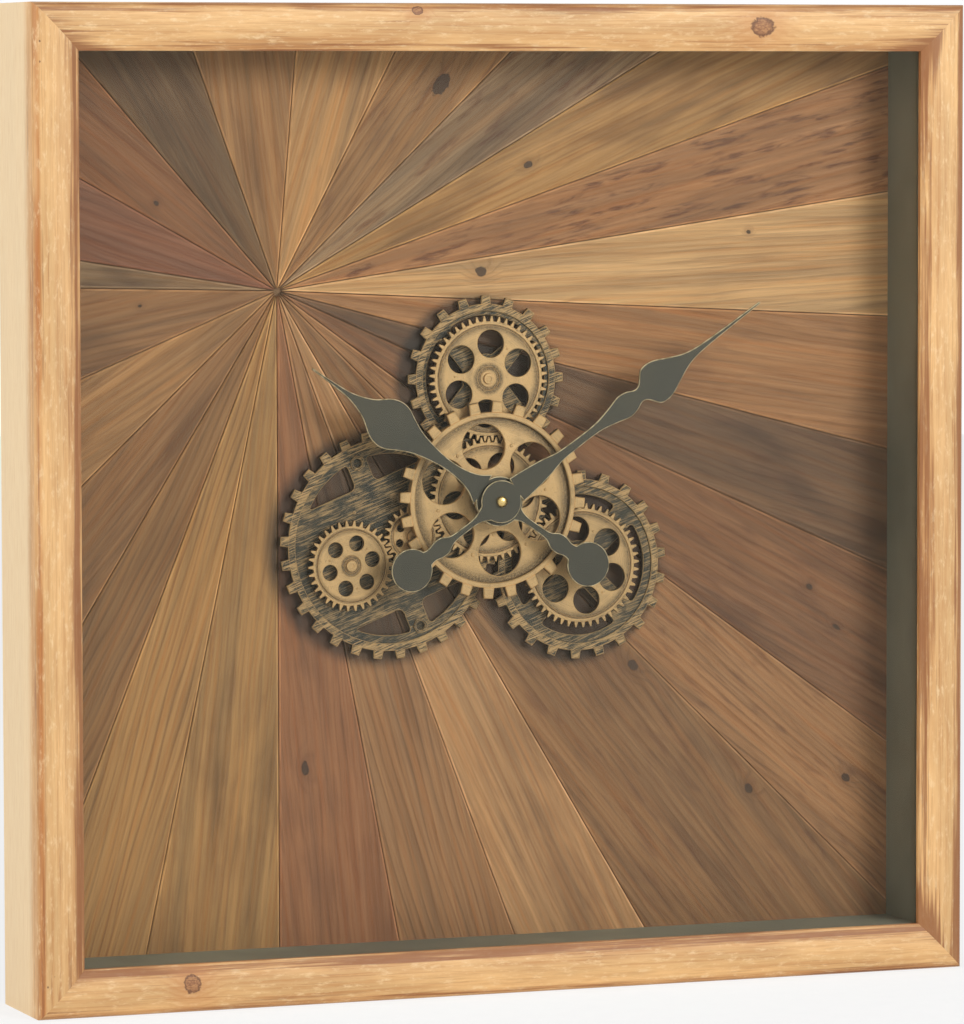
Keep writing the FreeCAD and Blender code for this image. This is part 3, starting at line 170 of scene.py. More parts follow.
class Finish:
    """A material and the means to add nodes to it."""

    def __init__(self, name):
        self.material = bpy.data.materials.new(name)
        self.material.use_nodes = True
        self.tree = self.material.node_tree
        self.tree.nodes.clear()

    def add(self, kind, values=None, settings=None, out=0):
        node = self.tree.nodes.new(kind)
        for key, value in (settings or {}).items():
            setattr(node, key, value)
        for key, value in (values or {}).items():
            if isinstance(value, Wire):
                self.tree.links.new(value.socket, node.inputs[key])
            else:
                node.inputs[key].default_value = value
        return Wire(self, node.outputs[out]) if node.outputs else None

    def maths(self, operation, *values):
        return self.add("ShaderNodeMath", dict(enumerate(values)), {"operation": operation})

    def mix(self, factor, first, second, blend="MIX"):
        return self.add("ShaderNodeMix", {0: factor, 6: first, 7: second},
                        {"data_type": "RGBA", "blend_type": blend}, 2)

    def blend(self, value, first, second, low=0.3, high=0.7):
        """From the first colour to the second as a value goes from low to high."""
        return self.mix(self.between(value, low, high), first, second)

    def lay(self, ground, colour, value, low, high, most=1.0):
        """Lay a colour over the ground, up to a share, as a value goes from low to high."""
        return self.mix(self.between(value, low, high, 0.0, most), ground, colour)

    def tint(self, colour, by):
        return self.mix(1.0, colour, by, "MULTIPLY")

    def attribute(self, name, out=1):
        return self.add("ShaderNodeAttribute", None, {"attribute_name": name}, out)

    def place(self):
        return self.add("ShaderNodeTexCoord", None, None, 3)

    def stretch(self, vector, scale):
        return self.add("ShaderNodeVectorMath", {0: vector, 1: scale}, {"operation": "MULTIPLY"})

    def millimetres(self, vector):
        return self.stretch(vector, (1 / MM, 1 / MM, 1 / MM))

    def shift(self, vector, offset):
        return self.add("ShaderNodeVectorMath", {0: vector, 1: offset}, {"operation": "ADD"})

    def length(self, vector):
        return self.add("ShaderNodeVectorMath", {0: vector}, {"operation": "LENGTH"}, 1)

    def axis(self, vector, number):
        return self.add("ShaderNodeSeparateXYZ", {0: vector}, None, number)

    def noise(self, vector, scale, detail=3.0, roughness=0.55, distortion=0.0):
        return self.add("ShaderNodeTexNoise", {"Vector": vector, "Scale": scale, "Detail": detail,
                                               "Roughness": roughness, "Distortion": distortion})

    def streaks(self, vector, scale, *rest):
        """Noise stretched differently along each axis."""
        return self.noise(self.stretch(vector, scale), 1.0, *rest)

    def between(self, value, low, high, out_low=0.0, out_high=1.0):
        return self.add("ShaderNodeMapRange", {0: value, 1: low, 2: high, 3: out_low, 4: out_high},
                        {"interpolation_type": "SMOOTHSTEP"})

    def vary(self, value, low, high):
        """From low to high as a noise goes through its usual range."""
        return self.between(value, 0.2, 0.8, low, high)

    def marks(self, place, spots):
        """Round marks in millimetres: how far a place is inside a heart, a core and a halo."""
        heart, core, halo = 0.0, 0.0, 0.0
        ragged = self.noise(place, 0.4, 3.0, 0.6) * 0.8 - 0.4
        for centre, size, lengthen in spots:
            away = self.shift(place, tuple(-part for part in centre))
            away = self.stretch(away, (1 / (size * lengthen), 1 / size, 1 / size))
            distance = self.length(away) + ragged
            heart = self.between(distance, 0.85, 0.6).maths("MAXIMUM", heart)
            core = self.between(distance, 1.05, 0.85).maths("MAXIMUM", core)
            halo = self.between(distance, 4.0, 0.6).maths("MAXIMUM", halo)
        return heart, core, halo

    def bump(self, height, strength, distance):
        return self.add("ShaderNodeBump", {"Height": height, "Strength": strength,
                                           "Distance": distance})

    def surface(self, **values):
        named = {key.replace("_", " "): value for key, value in values.items()}
        shader = self.add("ShaderNodeBsdfPrincipled", named)
        self.close(shader)
        return self.material

    def close(self, shader):
        self.add("ShaderNodeOutputMaterial", {0: shader})
        return self.material


def grey(level):
    return (level, level, level, 1)


def tone(colour, share):
    return tuple(part * share for part in colour[:3]) + (1,)


# Mesh helpers

def front_view(right, depth, height, turn=0.0):
    """From a drawing seen from the front, its z towards the viewer, to its place."""
    spin = Matrix.Rotation(math.radians(90), 4, "X") @ Matrix.Rotation(turn, 4, "Z")
    return Matrix.Translation((right, FRONT + depth, height)) @ spin


def back_view(right, depth, height):
    """From a drawing seen from the back, its z towards the wall, to its place."""
    spin = Matrix.Rotation(math.pi, 4, "Z") @ Matrix.Rotation(math.radians(90), 4, "X")
    return Matrix.Translation((right, FRONT + depth, height)) @ spin


def link(name, mesh):
    item = bpy.data.objects.new(name, mesh)
    bpy.context.scene.collection.objects.link(item)
    return item


def polar(radius, degrees):
    """Right and up of a place on a ring."""
    turn = math.radians(degrees)
    return (radius * math.cos(turn), radius * math.sin(turn))


def arc(centre, radius, start, end, count):
    turns = [math.radians(start + (end - start) * step / count) for step in range(count + 1)]
    return [(centre[0] + radius * math.cos(turn), centre[1] + radius * math.sin(turn))
            for turn in turns]


def ring(radius, count, centre=(0, 0), clockwise=False):
    """A closed circle; it runs clockwise where it is a hole."""
    points = arc(centre, radius, 0, 360, count)[:-1]
    return points[::-1] if clockwise else points


def inset(loop, distance):
    """Move a closed loop to its left, which is where the material is."""
    moved = []
    count = len(loop)
    for number in range(count):
        before = Vector(loop[number - 1])
        here = Vector(loop[number])
        after = Vector(loop[(number + 1) % count])
        first = (here - before).normalized()
        second = (after - here).normalized()
        left = Vector((-first.y - second.y, first.x + second.x))
        if left.length < 0.0001:
            left = Vector((-first.y, first.x))
        left.normalize()
        share = max(left.dot(Vector((-first.y, first.x))), 0.4)
        moved.append(tuple(here + left * distance / share))
    return moved


class Builder:
    """Collects closed shells for one mesh, with a mark on the worn edges."""

    def __init__(self, start=None):
        self.mesh = bmesh.new()
        if start:
            self.mesh.from_mesh(start)
        layers = self.mesh.faces.layers.float
        self.edge = layers.get("edge") or layers.new("edge")

    def face(self, corners, worn=0.0):
        self.mesh.faces.new(corners)[self.edge] = worn

    def row(self, loop, height):
        """A closed row of vertices at one height."""
        return [self.mesh.verts.new((x, y, height)) for x, y in loop]

    def skin(self, first, second, worn=0.0):
        """Faces between two closed rows of vertices, either of which may be a single one."""
        count = max(len(first), len(second))
        for number in range(count):
            after = (number + 1) % count
            corners = [first[number % len(first)], first[after % len(first)],
                       second[after % len(second)], second[number % len(second)]]
            self.face(list(dict.fromkeys(corners)), worn)

    def cap(self, loops, rings, upwards, mark=0.0):
        flat = [vertex for line in rings for vertex in line]
        for triple in tessellate_polygon([[Vector(point).to_3d() for point in loop]
                                          for loop in loops]):
            a, b, c = [flat[index] for index in triple]
            turn = (b.co - a.co).cross(c.co - a.co).z
            self.face((a, b, c) if (turn > 0) == upwards else (c, b, a), mark)

    def plate(self, loops, low, high, chamfer, mark=0.0):
        """A flat plate; its first loop runs counter-clockwise and its holes clockwise."""
        tops = [inset(loop, chamfer) for loop in loops]
        backs, fronts = [], []
        for loop, top in zip(loops, tops):
            backs.append(self.row(loop, low))
            wall = self.row(loop, high - chamfer)
            fronts.append(self.row(top, high))
            self.skin(backs[-1], wall, -1.0)
            self.skin(wall, fronts[-1], 1.0)
        self.cap(tops, fronts, True, mark)
        self.cap(loops, backs, False)

    def lathe(self, profile, count, worn=(), closed=False):
        """A turned shape; the profile runs up its outside from axis to axis, or round a ring."""
        rows = [self.row(ring(radius, count) if radius else [(0, 0)], height)
                for radius, height in profile]
        if closed:
            rows.append(rows[0])
        for number, (low, high) in enumerate(zip(rows, rows[1:])):
            self.skin(low, high, 1.0 if number in worn else 0.0)

    def object(self, name, place=None):
        bmesh.ops.recalc_face_normals(self.mesh, faces=self.mesh.faces)
        if place is not None:
            self.mesh.transform(place)
        mesh = bpy.data.meshes.new(name)
        self.mesh.to_mesh(mesh)
        self.mesh.free()
        shade_by_angle(mesh)
        return link(name, mesh)


def shade_by_angle(mesh, sharp=30.0):
    """Smooth shading that breaks at edges sharper than an angle in degrees."""
    work = bmesh.new()
    work.from_mesh(mesh)
    for edge in work.edges:
        edge.smooth = len(edge.link_faces) == 2 and edge.calc_face_angle(0) < math.radians(sharp)
    for face in work.faces:
        face.smooth = True
    work.to_mesh(mesh)
    work.free()


def bake_modifiers(item):
    """Turn what the modifiers give into the piece's own plain mesh."""
    bpy.context.view_layer.update()
    graph = bpy.context.evaluated_depsgraph_get()
    mesh = bpy.data.meshes.new_from_object(item.evaluated_get(graph), depsgraph=graph)
    item.modifiers.clear()
    item.data = mesh
    return item


def carve(item, *cutters):
    """Cut the cutters out of a piece and delete them."""
    for cutter in cutters:
        modifier = item.modifiers.new("Cut", "BOOLEAN")
        modifier.operation = "DIFFERENCE"
        modifier.solver = "EXACT"
        modifier.object = cutter
    bake_modifiers(item)
    for cutter in cutters:
        bpy.data.objects.remove(cutter)
    shade_by_angle(item.data)
    return item


def block(low, high):
    builder = Builder()
    loop = [(low[0], low[1]), (high[0], low[1]), (high[0], high[1]), (low[0], high[1])]
    builder.plate([loop], low[2], high[2], 0.00001)
    return builder.object("cutter")


def mark_vectors(item, name, of_point):
    """Store a vector on each vertex, worked out from its place."""
    layer = item.data.attributes.new(name, "FLOAT_VECTOR", "POINT")
    for number, vertex in enumerate(item.data.vertices):
        layer.data[number].vector = of_point(vertex.co)


def settle(item, finish, body, node):
    """Give a piece its finish, its body and the solid that it stands for."""
    item.data.materials.clear()
    item.data.materials.append(FINISHES[finish])
    for face in item.data.polygons:
        face.material_index = 0
    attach(item, body)
    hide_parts(node)


def refinish(node, finish):
    """Give a solid that keeps its shape a better material."""
    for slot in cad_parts[node].material_slots:
        slot.material = FINISHES[finish]


# Node trees for what repeats

def tree_node(tree, kind, values=None, settings=None):
    node = tree.nodes.new(kind)
    for key, value in (settings or {}).items():
        setattr(node, key, value)
    for key, value in (values or {}).items():
        if isinstance(value, bpy.types.NodeSocket):
            tree.links.new(value, node.inputs[key])
        else:
            node.inputs[key].default_value = value
    return node


def copies_tree(name, inputs, points_and_turns, body=None):
    """A tree that sets a piece on points, each turned about its axis, and joins it to a body."""
    tree = bpy.data.node_groups.new(name, "GeometryNodeTree")
    sockets = {}
    for label, kind in inputs + [("Piece", "Object"), ("Finish", "Material")]:
        socket = tree.interface.new_socket(label, in_out="INPUT", socket_type="NodeSocket" + kind)
        sockets[label] = socket.identifier
    tree.interface.new_socket("Geometry", in_out="OUTPUT", socket_type="NodeSocketGeometry")
    given = tree.nodes.new("NodeGroupInput").outputs
    points, turns = points_and_turns(tree, given)
    piece = tree_node(tree, "GeometryNodeObjectInfo", {"Object": given["Piece"]})
    spin = tree_node(tree, "ShaderNodeCombineXYZ", {"Z": turns})
    copies = tree_node(tree, "GeometryNodeInstanceOnPoints",
                       {"Points": points, "Instance": piece.outputs["Geometry"],
                        "Rotation": spin.outputs[0]})
    shape = tree_node(tree, "GeometryNodeRealizeInstances", {0: copies.outputs[0]})
    if body:
        joined = tree_node(tree, "GeometryNodeJoinGeometry", {0: shape.outputs[0]})
        tree.links.new(given[body], joined.inputs[0])
        shape = joined
    dressed = tree_node(tree, "GeometryNodeSetMaterial",
                        {"Geometry": shape.outputs[0], "Material": given["Finish"]})
    tree_node(tree, "NodeGroupOutput", {0: dressed.outputs[0]})
    return tree, sockets


def ring_points(tree, given):
    """Points on the axis, one for each tooth, and their turns round it."""
    points = tree_node(tree, "GeometryNodePoints", {"Count": given["Teeth"]})
    number = tree.nodes.new("GeometryNodeInputIndex")
    share = tree_node(tree, "ShaderNodeMath", {0: number.outputs[0], 1: given["Teeth"]},
                      {"operation": "DIVIDE"})
    turn = tree_node(tree, "ShaderNodeMath", {0: share.outputs[0], 1: 2 * math.pi,
                                              2: given["First tooth"]},
                     {"operation": "MULTIPLY_ADD"})
    return points.outputs[0], turn.outputs[0]


def spot_points(tree, given):
    """The given spots, each with a turn of its own."""
    turn = tree_node(tree, "FunctionNodeRandomValue", {"Seed": given["Seed"], 3: math.pi},
                     {"data_type": "FLOAT"})
    return given["Spots"], turn.outputs[1]


def run_tree(item, kind, piece, finish, values):
    """Run a tree on an item with a drawn piece, then delete that piece."""
    tree, sockets = TREES[kind]
    piece_item = piece.object(item.name + "_piece")
    modifier = item.modifiers.new(tree.name, "NODES")
    modifier.node_group = tree
    for label, value in dict(values, Piece=piece_item, Finish=FINISHES[finish]).items():
        modifier[sockets[label]] = value
    bake_modifiers(item)
    bpy.data.objects.remove(piece_item)
    return item


def with_teeth(item, tooth, teeth, turn, finish):
    """Set a ring of teeth, or of other pieces, round an item's axis."""
    return run_tree(item, "ring", tooth, finish, {"Teeth": teeth, "First tooth": turn})


def at_spots(name, spots, fastener, seed, finish):
    """Set copies of a fastener at spots, all in one drawing's own frame."""
    mesh = bpy.data.meshes.new(name)
    mesh.from_pydata(spots, [], [])
    return run_tree(link(name, mesh), "spots", fastener, finish, {"Seed": seed})


TREES = {}
FINISHES = {}


# Finishes

# Colours of the marks on the pine and on the planks
MARKS = {"toned_and_shade": (0.48, 0.17, 0.035, 1), "scratch": (0.36, 0.14, 0.04, 1),
         "scuff": (0.93, 0.72, 0.42, 1), "side": (0.88, 0.67, 0.40, 1),
         "side_fibre": (0.70, 0.45, 0.22, 1), "halo": (0.50, 0.20, 0.06, 1),
         "knot": (0.42, 0.20, 0.075, 1), "knot_ring": (0.22, 0.08, 0.03, 1),
         "pith": (0.12, 0.042, 0.016, 1), "pin_hole": (0.14, 0.06, 0.025, 1),
         "blot": (0.15, 0.05, 0.022, 1), "plank_knot": (0.055, 0.025, 0.014, 1)}
# What a plank's stain is multiplied by; the last one darkens the planks in the painted shadow of
# the fixed wheels
TINTS = {"dark": (0.42, 0.36, 0.34, 1), "red": (0.95, 0.68, 0.46, 1), "pale": (1.35, 1.4, 1.5, 1),
         "arris": (1.6, 1.7, 2.0, 1), "shaded": (0.76, 0.775, 0.81, 1),
         "faded": (1.17, 1.16, 1.13, 1), "shadow_tint": (0.15, 0.15, 0.18, 1)}


def pine_finish(colours):
    """Honey pine: long growth lines, fine fibre, knots and scorched streaks; painted shade darkens
    the front toward its arris and slope, and painted light makes the left rail's side paler.
    """
    make = Finish("honey_pine")
    grain = make.millimetres(make.attribute("grain"))
    wear = make.attribute("wear")
    knots = [(rail_mark(rail, along, across), size, longer)
             for rail, along, across, size, longer in RAIL_KNOTS]
    dots = [(rail_mark(rail, along, across), 0.55, 1.3) for rail, along, across in RAIL_DOTS]
    heart, core, halo = make.marks(grain, knots)
    pin_holes = make.marks(grain, dots)[1]
    across = make.axis(grain, 1)
    inward = make.axis(grain, 2)
    sway = make.streaks(grain, (0.0035, 0.022, 0.022), 2.0, 0.5)
    rings = across * 0.2 + inward * 0.14 + sway * 2.6 + halo * 1.7
    line = rings.maths("FRACT")
    late = make.between(line, 0.3, 0.9) * make.between(line, 1.0, 0.93)
    patch = make.streaks(grain, (0.007, 0.05, 0.05), 3.0, 0.55)
    fibre = make.streaks(grain, (0.045, 0.9, 0.9), 5.0, 0.72)
    streak = make.streaks(grain, (0.008, 0.42, 0.42), 5.0, 0.66, 0.25)
    ground = make.blend(patch, tone(colours.pine, 1.1), tone(colours.pine, 0.8))
    ground = make.mix(late * make.between(patch, 0.25, 0.75, 0.05, 0.42), ground,
                      colours.pine_dark)
    ground = make.lay(ground, colours.pine_dark, fibre, 0.42, 0.75, 0.45)
    ground = make.lay(ground, colours.pine_dark, streak, 0.5, 0.72, 0.55)
    # Orange toning, darker toward the outer arris and the inner slope: partly real toning, partly
    # painted shade of the rounded front
    ground = make.mix(make.axis(wear, 0) * make.between(patch, 0.33, 0.62, 0.25, 1.0), ground,
                      MARKS["toned_and_shade"])
    scratch = make.streaks(grain, (0.014, 0.75, 0.75), 4.0, 0.7)
    scratched = make.between(scratch, 0.57, 0.7) * make.between(patch, 0.35, 0.65, 0.15, 0.75)
    ground = make.mix(scratched, ground, MARKS["scratch"])
    scuff = make.streaks(grain, (0.1, 0.34, 0.34), 5.0, 0.72)
    ground = make.lay(ground, MARKS["scuff"], scuff, 0.5, 0.72, 0.5)
    # Scorched streaks, weighted toward the arris, the slope and the mitres: partly real scorch,
    # partly painted shade
    burn_and_edge_shade = make.between(streak * 0.65 + patch * 0.3 + make.axis(wear, 1) * 0.3, 0.6, 0.76)
    ground = make.mix(burn_and_edge_shade * 0.85, ground, colours.burnt)
    # Paler wood on the rails' sides and backs; on the left rail's side it is laid three times as
    # strongly, as painted light on the side that faces the fill lamp
    side = make.mix(make.between(fibre, 0.4, 0.75, 0.0, 0.5), MARKS["side"], MARKS["side_fibre"])
    ground = make.mix(make.axis(wear, 2), ground, side)
    ground = make.mix(halo * 0.45, ground, MARKS["halo"])
    knot_rings = make.streaks(grain, (0.35, 0.9, 0.9), 3.0, 0.6, 1.2)
    heartwood = make.blend(knot_rings, MARKS["knot_ring"], MARKS["knot"], 0.4, 0.6)
    ground = make.mix(core * 0.9, ground, make.mix(heart, MARKS["pith"], heartwood))
    ground = make.mix(pin_holes * 0.8, ground, MARKS["pin_hole"])
    height = fibre * 0.5 - late * 0.2 - burn_and_edge_shade * 0.4 - core * 0.5
    return make.surface(Base_Color=ground, Roughness=make.vary(fibre, 0.42, 0.6),
                        Normal=make.bump(height, 0.2, 0.0006))


def plank_finish():
    """Old stained boards: streaked fibre, smudges, dark stains, small knots, and a painted shadow
    of the fixed wheels.
    """
    make = Finish("stained_plank")
    grain = make.millimetres(make.attribute("grain"))
    stain = make.attribute("stain", 0)
    wear = make.attribute("wear")
    edge = make.attribute("edge", 2)
    knots = [(plank_mark(*mark[:3]), mark[3], mark[4]) for mark in PLANK_MARKS]
    core, halo = make.marks(grain, knots)[1:]
    across = make.axis(grain, 1)
    sway = make.streaks(grain, (0.005, 0.028, 1.0), 2.0)
    line = (across * 0.19 + sway * 4.2 + halo * 1.5).maths("FRACT")
    late = make.between(line, 0.55, 0.94) * make.between(line, 1.0, 0.95)
    fibre = make.streaks(grain, (0.022, 0.75, 1.0), 6.0, 0.75)
    streak = make.streaks(grain, (0.006, 0.3, 1.0), 5.0, 0.68)
    blot = make.streaks(grain, (0.028, 0.17, 1.0), 5.0, 0.7, 0.3)
    smudge = make.streaks(grain, (0.010, 0.028, 1.0), 3.0, 0.6, 0.2)
    dark = make.tint(stain, TINTS["dark"])
    red = make.tint(stain, TINTS["red"])
    pale = make.tint(stain, TINTS["pale"])
    ground = make.lay(stain, red, streak, 0.45, 0.7, 0.6)
    ground = make.lay(ground, pale, streak, 0.5, 0.28, 0.45)
    ground = make.mix(late * make.axis(wear, 2) * make.between(smudge, 0.3, 0.65, 0.35, 1.25),
                      ground, dark)
    ground = make.lay(ground, dark, fibre, 0.45, 0.78, 0.6)
    ground = make.mix(make.between(smudge, 0.48, 0.72) * make.axis(wear, 1), ground, dark)
    ground = make.mix(make.between(blot, 0.5, 0.66) * make.axis(wear, 0), ground,
                      MARKS["blot"])
    ground = make.mix(edge * make.between(blot, 0.6, 0.4, 0.4, 1.0), ground,
                      make.tint(stain, TINTS["arris"]))
    broad = make.streaks(grain, (0.0025, 0.085, 1.0), 5.0, 0.68)
    ground = make.tint(ground, make.blend(broad, TINTS["shaded"], TINTS["faded"], 0.32, 0.68))
    ground = make.mix(halo * 0.35, ground, dark)
    ground = make.mix(core * 0.9, ground, MARKS["plank_knot"])
    # Painted shadow: a dark disc a little left of and below each fixed wheel, in place of the
    # shadow that the wheel casts on the planks
    painted_wheel_shadow = 0.0
    for right, up, reach in WHEEL_SHADOW_DISCS:
        away = make.shift(make.place(), (WHEEL_SHADOW_SHIFT[0] - AXIS[0] - right, 0.0,
                                         WHEEL_SHADOW_SHIFT[1] - AXIS[1] - up))
        distance = make.length(make.stretch(away, (1 / reach, 0.0, 1 / reach)))
        painted_wheel_shadow = make.between(distance, 1.12, 0.96).maths("MAXIMUM", painted_wheel_shadow)
    ground = make.mix(painted_wheel_shadow * 0.9, ground, make.tint(ground, TINTS["shadow_tint"]))
    height = fibre * 0.6 - late * 0.3 + streak * 0.3
    return make.surface(Base_Color=ground, Roughness=make.vary(streak, 0.5, 0.7),
                        Normal=make.bump(height, 0.22, 0.0006))


def bronze_finish(colours):
    """Old bronze: a rubbed ground, fine dark specks, tarnished walls, dark rings by the rim and hub
    that are partly tarnish and partly painted shade, and bright edges.
    """
    make = Finish("old_bronze")
    place = make.millimetres(make.place())
    radius = make.length(make.stretch(make.attribute("local"), (1 / MM, 1 / MM, 0.0)))
    cloud = make.noise(place, 0.07, 3.0, 0.55)
    grit = make.noise(place, 0.9, 4.0, 0.7)
    lathe = make.add("ShaderNodeCombineXYZ", {0: radius * 1.7, 1: cloud * 1.2})
    brushed = make.noise(lathe, 1.0, 3.0, 0.6)
    edge = make.attribute("edge", 2)
    share = radius / (make.axis(make.attribute("local"), 2) * (1 / MM))
    # Rings just inside the rim and round the hub take the patina: partly tarnish in these hollows,
    # partly painted shade in place of their occlusion
    tarnish_and_shade_rings = make.between(share, 0.78, 0.925) * make.between(share, 0.96, 0.935)
    tarnish_and_shade_rings = tarnish_and_shade_rings + make.between(share, 0.31, 0.23) * make.between(share, 0.12, 0.17)
    rub = make.between(cloud * 0.5 + brushed * 0.3 + grit * 0.3, 0.36, 0.6)
    ground = make.mix(rub, tone(colours.bronze, 0.55), colours.bronze)
    ground = make.mix(tarnish_and_shade_rings * make.between(grit, 0.35, 0.6, 0.4, 0.9), ground, colours.patina)
    ground = make.lay(ground, colours.patina, grit, 0.56, 0.74, 0.7)
    ground = make.lay(ground, colours.patina, edge, 0.0, -1.0, 0.72)
    ground = make.mix(make.between(edge, 0.0, 1.0) * make.between(grit, 0.3, 0.6, 0.4, 0.9),
                      ground, tone(colours.bronze, 1.3))
    return make.surface(Base_Color=ground, Metallic=make.between(rub, 0.0, 1.0, 0.35, 0.55),
                        Roughness=make.between(cloud, 0.25, 0.8, 0.42, 0.58),
                        Normal=make.bump(grit * 0.5 + brushed * 0.5, 0.16, 0.0003))


def weathered_finish(colours):
    """Dark iron wheels, dry-brushed along one direction with gold."""
    make = Finish("weathered_iron")
    place = make.millimetres(make.place())
    slanted = make.add("ShaderNodeMapping", {"Vector": place, "Rotation": (0, 0.36, 0)})
    strokes = make.streaks(slanted, (0.075, 1.7, 2.0), 3.0, 0.7)
    cloud = make.noise(place, 0.09, 3.0, 0.6)
    grit = make.noise(place, 1.2, 3.0, 0.7)
    raised = make.attribute("raised", 2)
    edge = make.attribute("edge", 2)
    dark = make.blend(cloud, (0.030, 0.027, 0.020, 1), (0.065, 0.056, 0.040, 1))
    dry = make.between(strokes + (cloud - 0.5) * 0.4 + raised * 0.05, 0.49, 0.6)
    ground = make.mix(dry * (raised * 0.25 + 0.65), dark, tone(colours.bronze, 0.95))
    # Dark tarnish on the walls; on the floors of the bolt holes the same dark is painted shade
    ground = make.lay(ground, (0.03, 0.024, 0.017, 1), edge, 0.0, -1.0, 0.7)
    ground = make.mix(make.between(edge, 0.0, 1.0) * make.between(grit, 0.3, 0.6, 0.2, 0.8),
                      ground, tone(colours.bronze, 1.1))
    return make.surface(Base_Color=ground, Metallic=make.between(dry, 0.0, 1.0, 0.15, 0.5),
                        Roughness=make.vary(cloud, 0.5, 0.66),
                        Normal=make.bump(strokes * 0.6 + grit * 0.4, 0.3, 0.0004))


def hand_finish():
    """Satin black paint, a little cloudy."""
    make = Finish("black_hand_paint")
    cloud = make.noise(make.place(), 30.0, 2.0)
    colour = make.blend(cloud, (0.048, 0.043, 0.030, 1), (0.066, 0.058, 0.040, 1))
    return make.surface(Base_Color=colour, Roughness=make.vary(cloud, 0.45, 0.55))


def hand_edge_finish():
    """The bare bevel round a hand."""
    make = Finish("hand_bevel")
    scuff = make.noise(make.place(), 260.0, 3.0)
    colour = make.blend(scuff, (0.42, 0.33, 0.20, 1), (0.92, 0.78, 0.54, 1), 0.35, 0.6)
    return make.surface(Base_Color=colour, Metallic=0.15,
                        Roughness=make.vary(scuff, 0.4, 0.5))


def brass_finish():
    """Turned brass."""
    make = Finish("turned_brass")
    swirl = make.streaks(make.place(), (700.0, 60.0, 700.0), 2.0)
    colour = make.blend(swirl, (0.86, 0.62, 0.26, 1), (0.72, 0.50, 0.20, 1))
    return make.surface(Base_Color=colour, Metallic=1.0,
                        Roughness=make.vary(swirl, 0.2, 0.34))


def glass_finish():
    """Thin clear glass with a faint grey-green body."""
    make = Finish("clear_pane")
    smear = make.noise(make.place(), 4.0, 3.0, 0.5)
    mirror = make.add("ShaderNodeBsdfAnisotropic", {"Color": (1.0, 0.98, 0.84, 1),
                                                    "Roughness": 0.02})
    through = make.add("ShaderNodeBsdfTransparent", {"Color": (0.955, 0.962, 0.94, 1)})
    fresnel = make.add("ShaderNodeFresnel", {"IOR": 1.22})
    factor = fresnel * make.vary(smear, 0.9, 1.1)
    return make.close(make.add("ShaderNodeMixShader", {0: factor, 1: through, 2: mirror}))


def paint_finish(name, colour, speckle, roughness, grain_scale):
    """A plain painted or moulded surface with its own fine texture and wear."""
    make = Finish(name)
    cloud = make.noise(make.place(), 14.0, 3.0)
    grains = make.noise(make.place(), grain_scale, 4.0, 0.7)
    ground = make.blend(cloud, tone(colour, 0.85), tone(colour, 1.15))
    ground = make.lay(ground, speckle, grains, 0.62, 0.78, 0.5)
    return make.surface(Base_Color=ground,
                        Roughness=make.vary(grains, roughness, roughness + 0.15),
                        Normal=make.bump(grains, 0.15, 0.0003))


def board_finish():
    """Hardboard: pressed brown fibres."""
    make = Finish("hardboard")
    fibres = make.noise(make.place(), 420.0, 5.0, 0.75)
    cloud = make.noise(make.place(), 9.0, 3.0)
    ground = make.blend(cloud, (0.26, 0.145, 0.075, 1), (0.33, 0.19, 0.10, 1))
    ground = make.lay(ground, (0.13, 0.07, 0.035, 1), fibres, 0.45, 0.75, 0.6)
    return make.surface(Base_Color=ground, Roughness=0.78, Normal=make.bump(fibres, 0.3, 0.0004))


def steel_finish():
    """Zinc-plated steel with cloudy plating."""
    make = Finish("zinc_steel")
    cloud = make.noise(make.place(), 190.0, 3.0)
    colour = make.blend(cloud, (0.50, 0.50, 0.49, 1), (0.68, 0.67, 0.64, 1))
    return make.surface(Base_Color=colour, Metallic=1.0,
                        Roughness=make.vary(cloud, 0.28, 0.45),
                        Normal=make.bump(cloud, 0.08, 0.0003))


class MakeFinishes(bpy.types.Operator):
    """Make the materials"""
    bl_idname = "gear_clock.finishes"
    bl_label = "Finishes"

    def execute(self, context):
        colours = context.scene.clock_colours
        FINISHES.update(
            pine=pine_finish(colours), plank=plank_finish(), bronze=bronze_finish(colours),
            iron=weathered_finish(colours), hand=hand_finish(), hand_edge=hand_edge_finish(),
            brass=brass_finish(), glass=glass_finish(), board=board_finish(), steel=steel_finish(),
            liner=paint_finish("liner_paint", colours.liner, (0.08, 0.075, 0.06, 1), 0.6, 600.0),
            plastic=paint_finish("case_plastic", (0.022, 0.022, 0.024, 1),
                                 (0.05, 0.05, 0.052, 1), 0.42, 1500.0),
            cell=paint_finish("cell_skin", (0.05, 0.09, 0.12, 1), (0.1, 0.14, 0.17, 1), 0.3, 900.0))
        TREES["ring"] = copies_tree("Ring of teeth", [
            ("Body", "Geometry"), ("Teeth", "Int"), ("First tooth", "Float")], ring_points, "Body")
        TREES["spots"] = copies_tree("Fasteners at points", [
            ("Spots", "Geometry"), ("Seed", "Int")], spot_points)
        return {"FINISHED"}


# Frame

RAILS = {"frame_bottom": 0, "frame_right": 1, "frame_top": 2, "frame_left": 3}
# Rail, place along it from its middle and across it from its outer side, size in millimetres,
# stretch along the grain
RAIL_KNOTS = [("frame_top", -0.1634, 0.0137, 6.2, 1.3), ("frame_top", 0.061, 0.0045, 2.8, 1.3),
              ("frame_bottom", -0.2054, 0.0172, 6.0, 0.95)]
RAIL_DOTS = [("frame_left", -0.277, 0.004), ("frame_left", -0.265, 0.004),
             ("frame_left", 0.274, 0.009), ("frame_left", 0.280, 0.005)]
# How far along and across each rail's grain starts from that of the rail before it
RAIL_SHIFT = (1.7, 0.06)
# Deepest dent in a rail's front
DENT = 0.00022
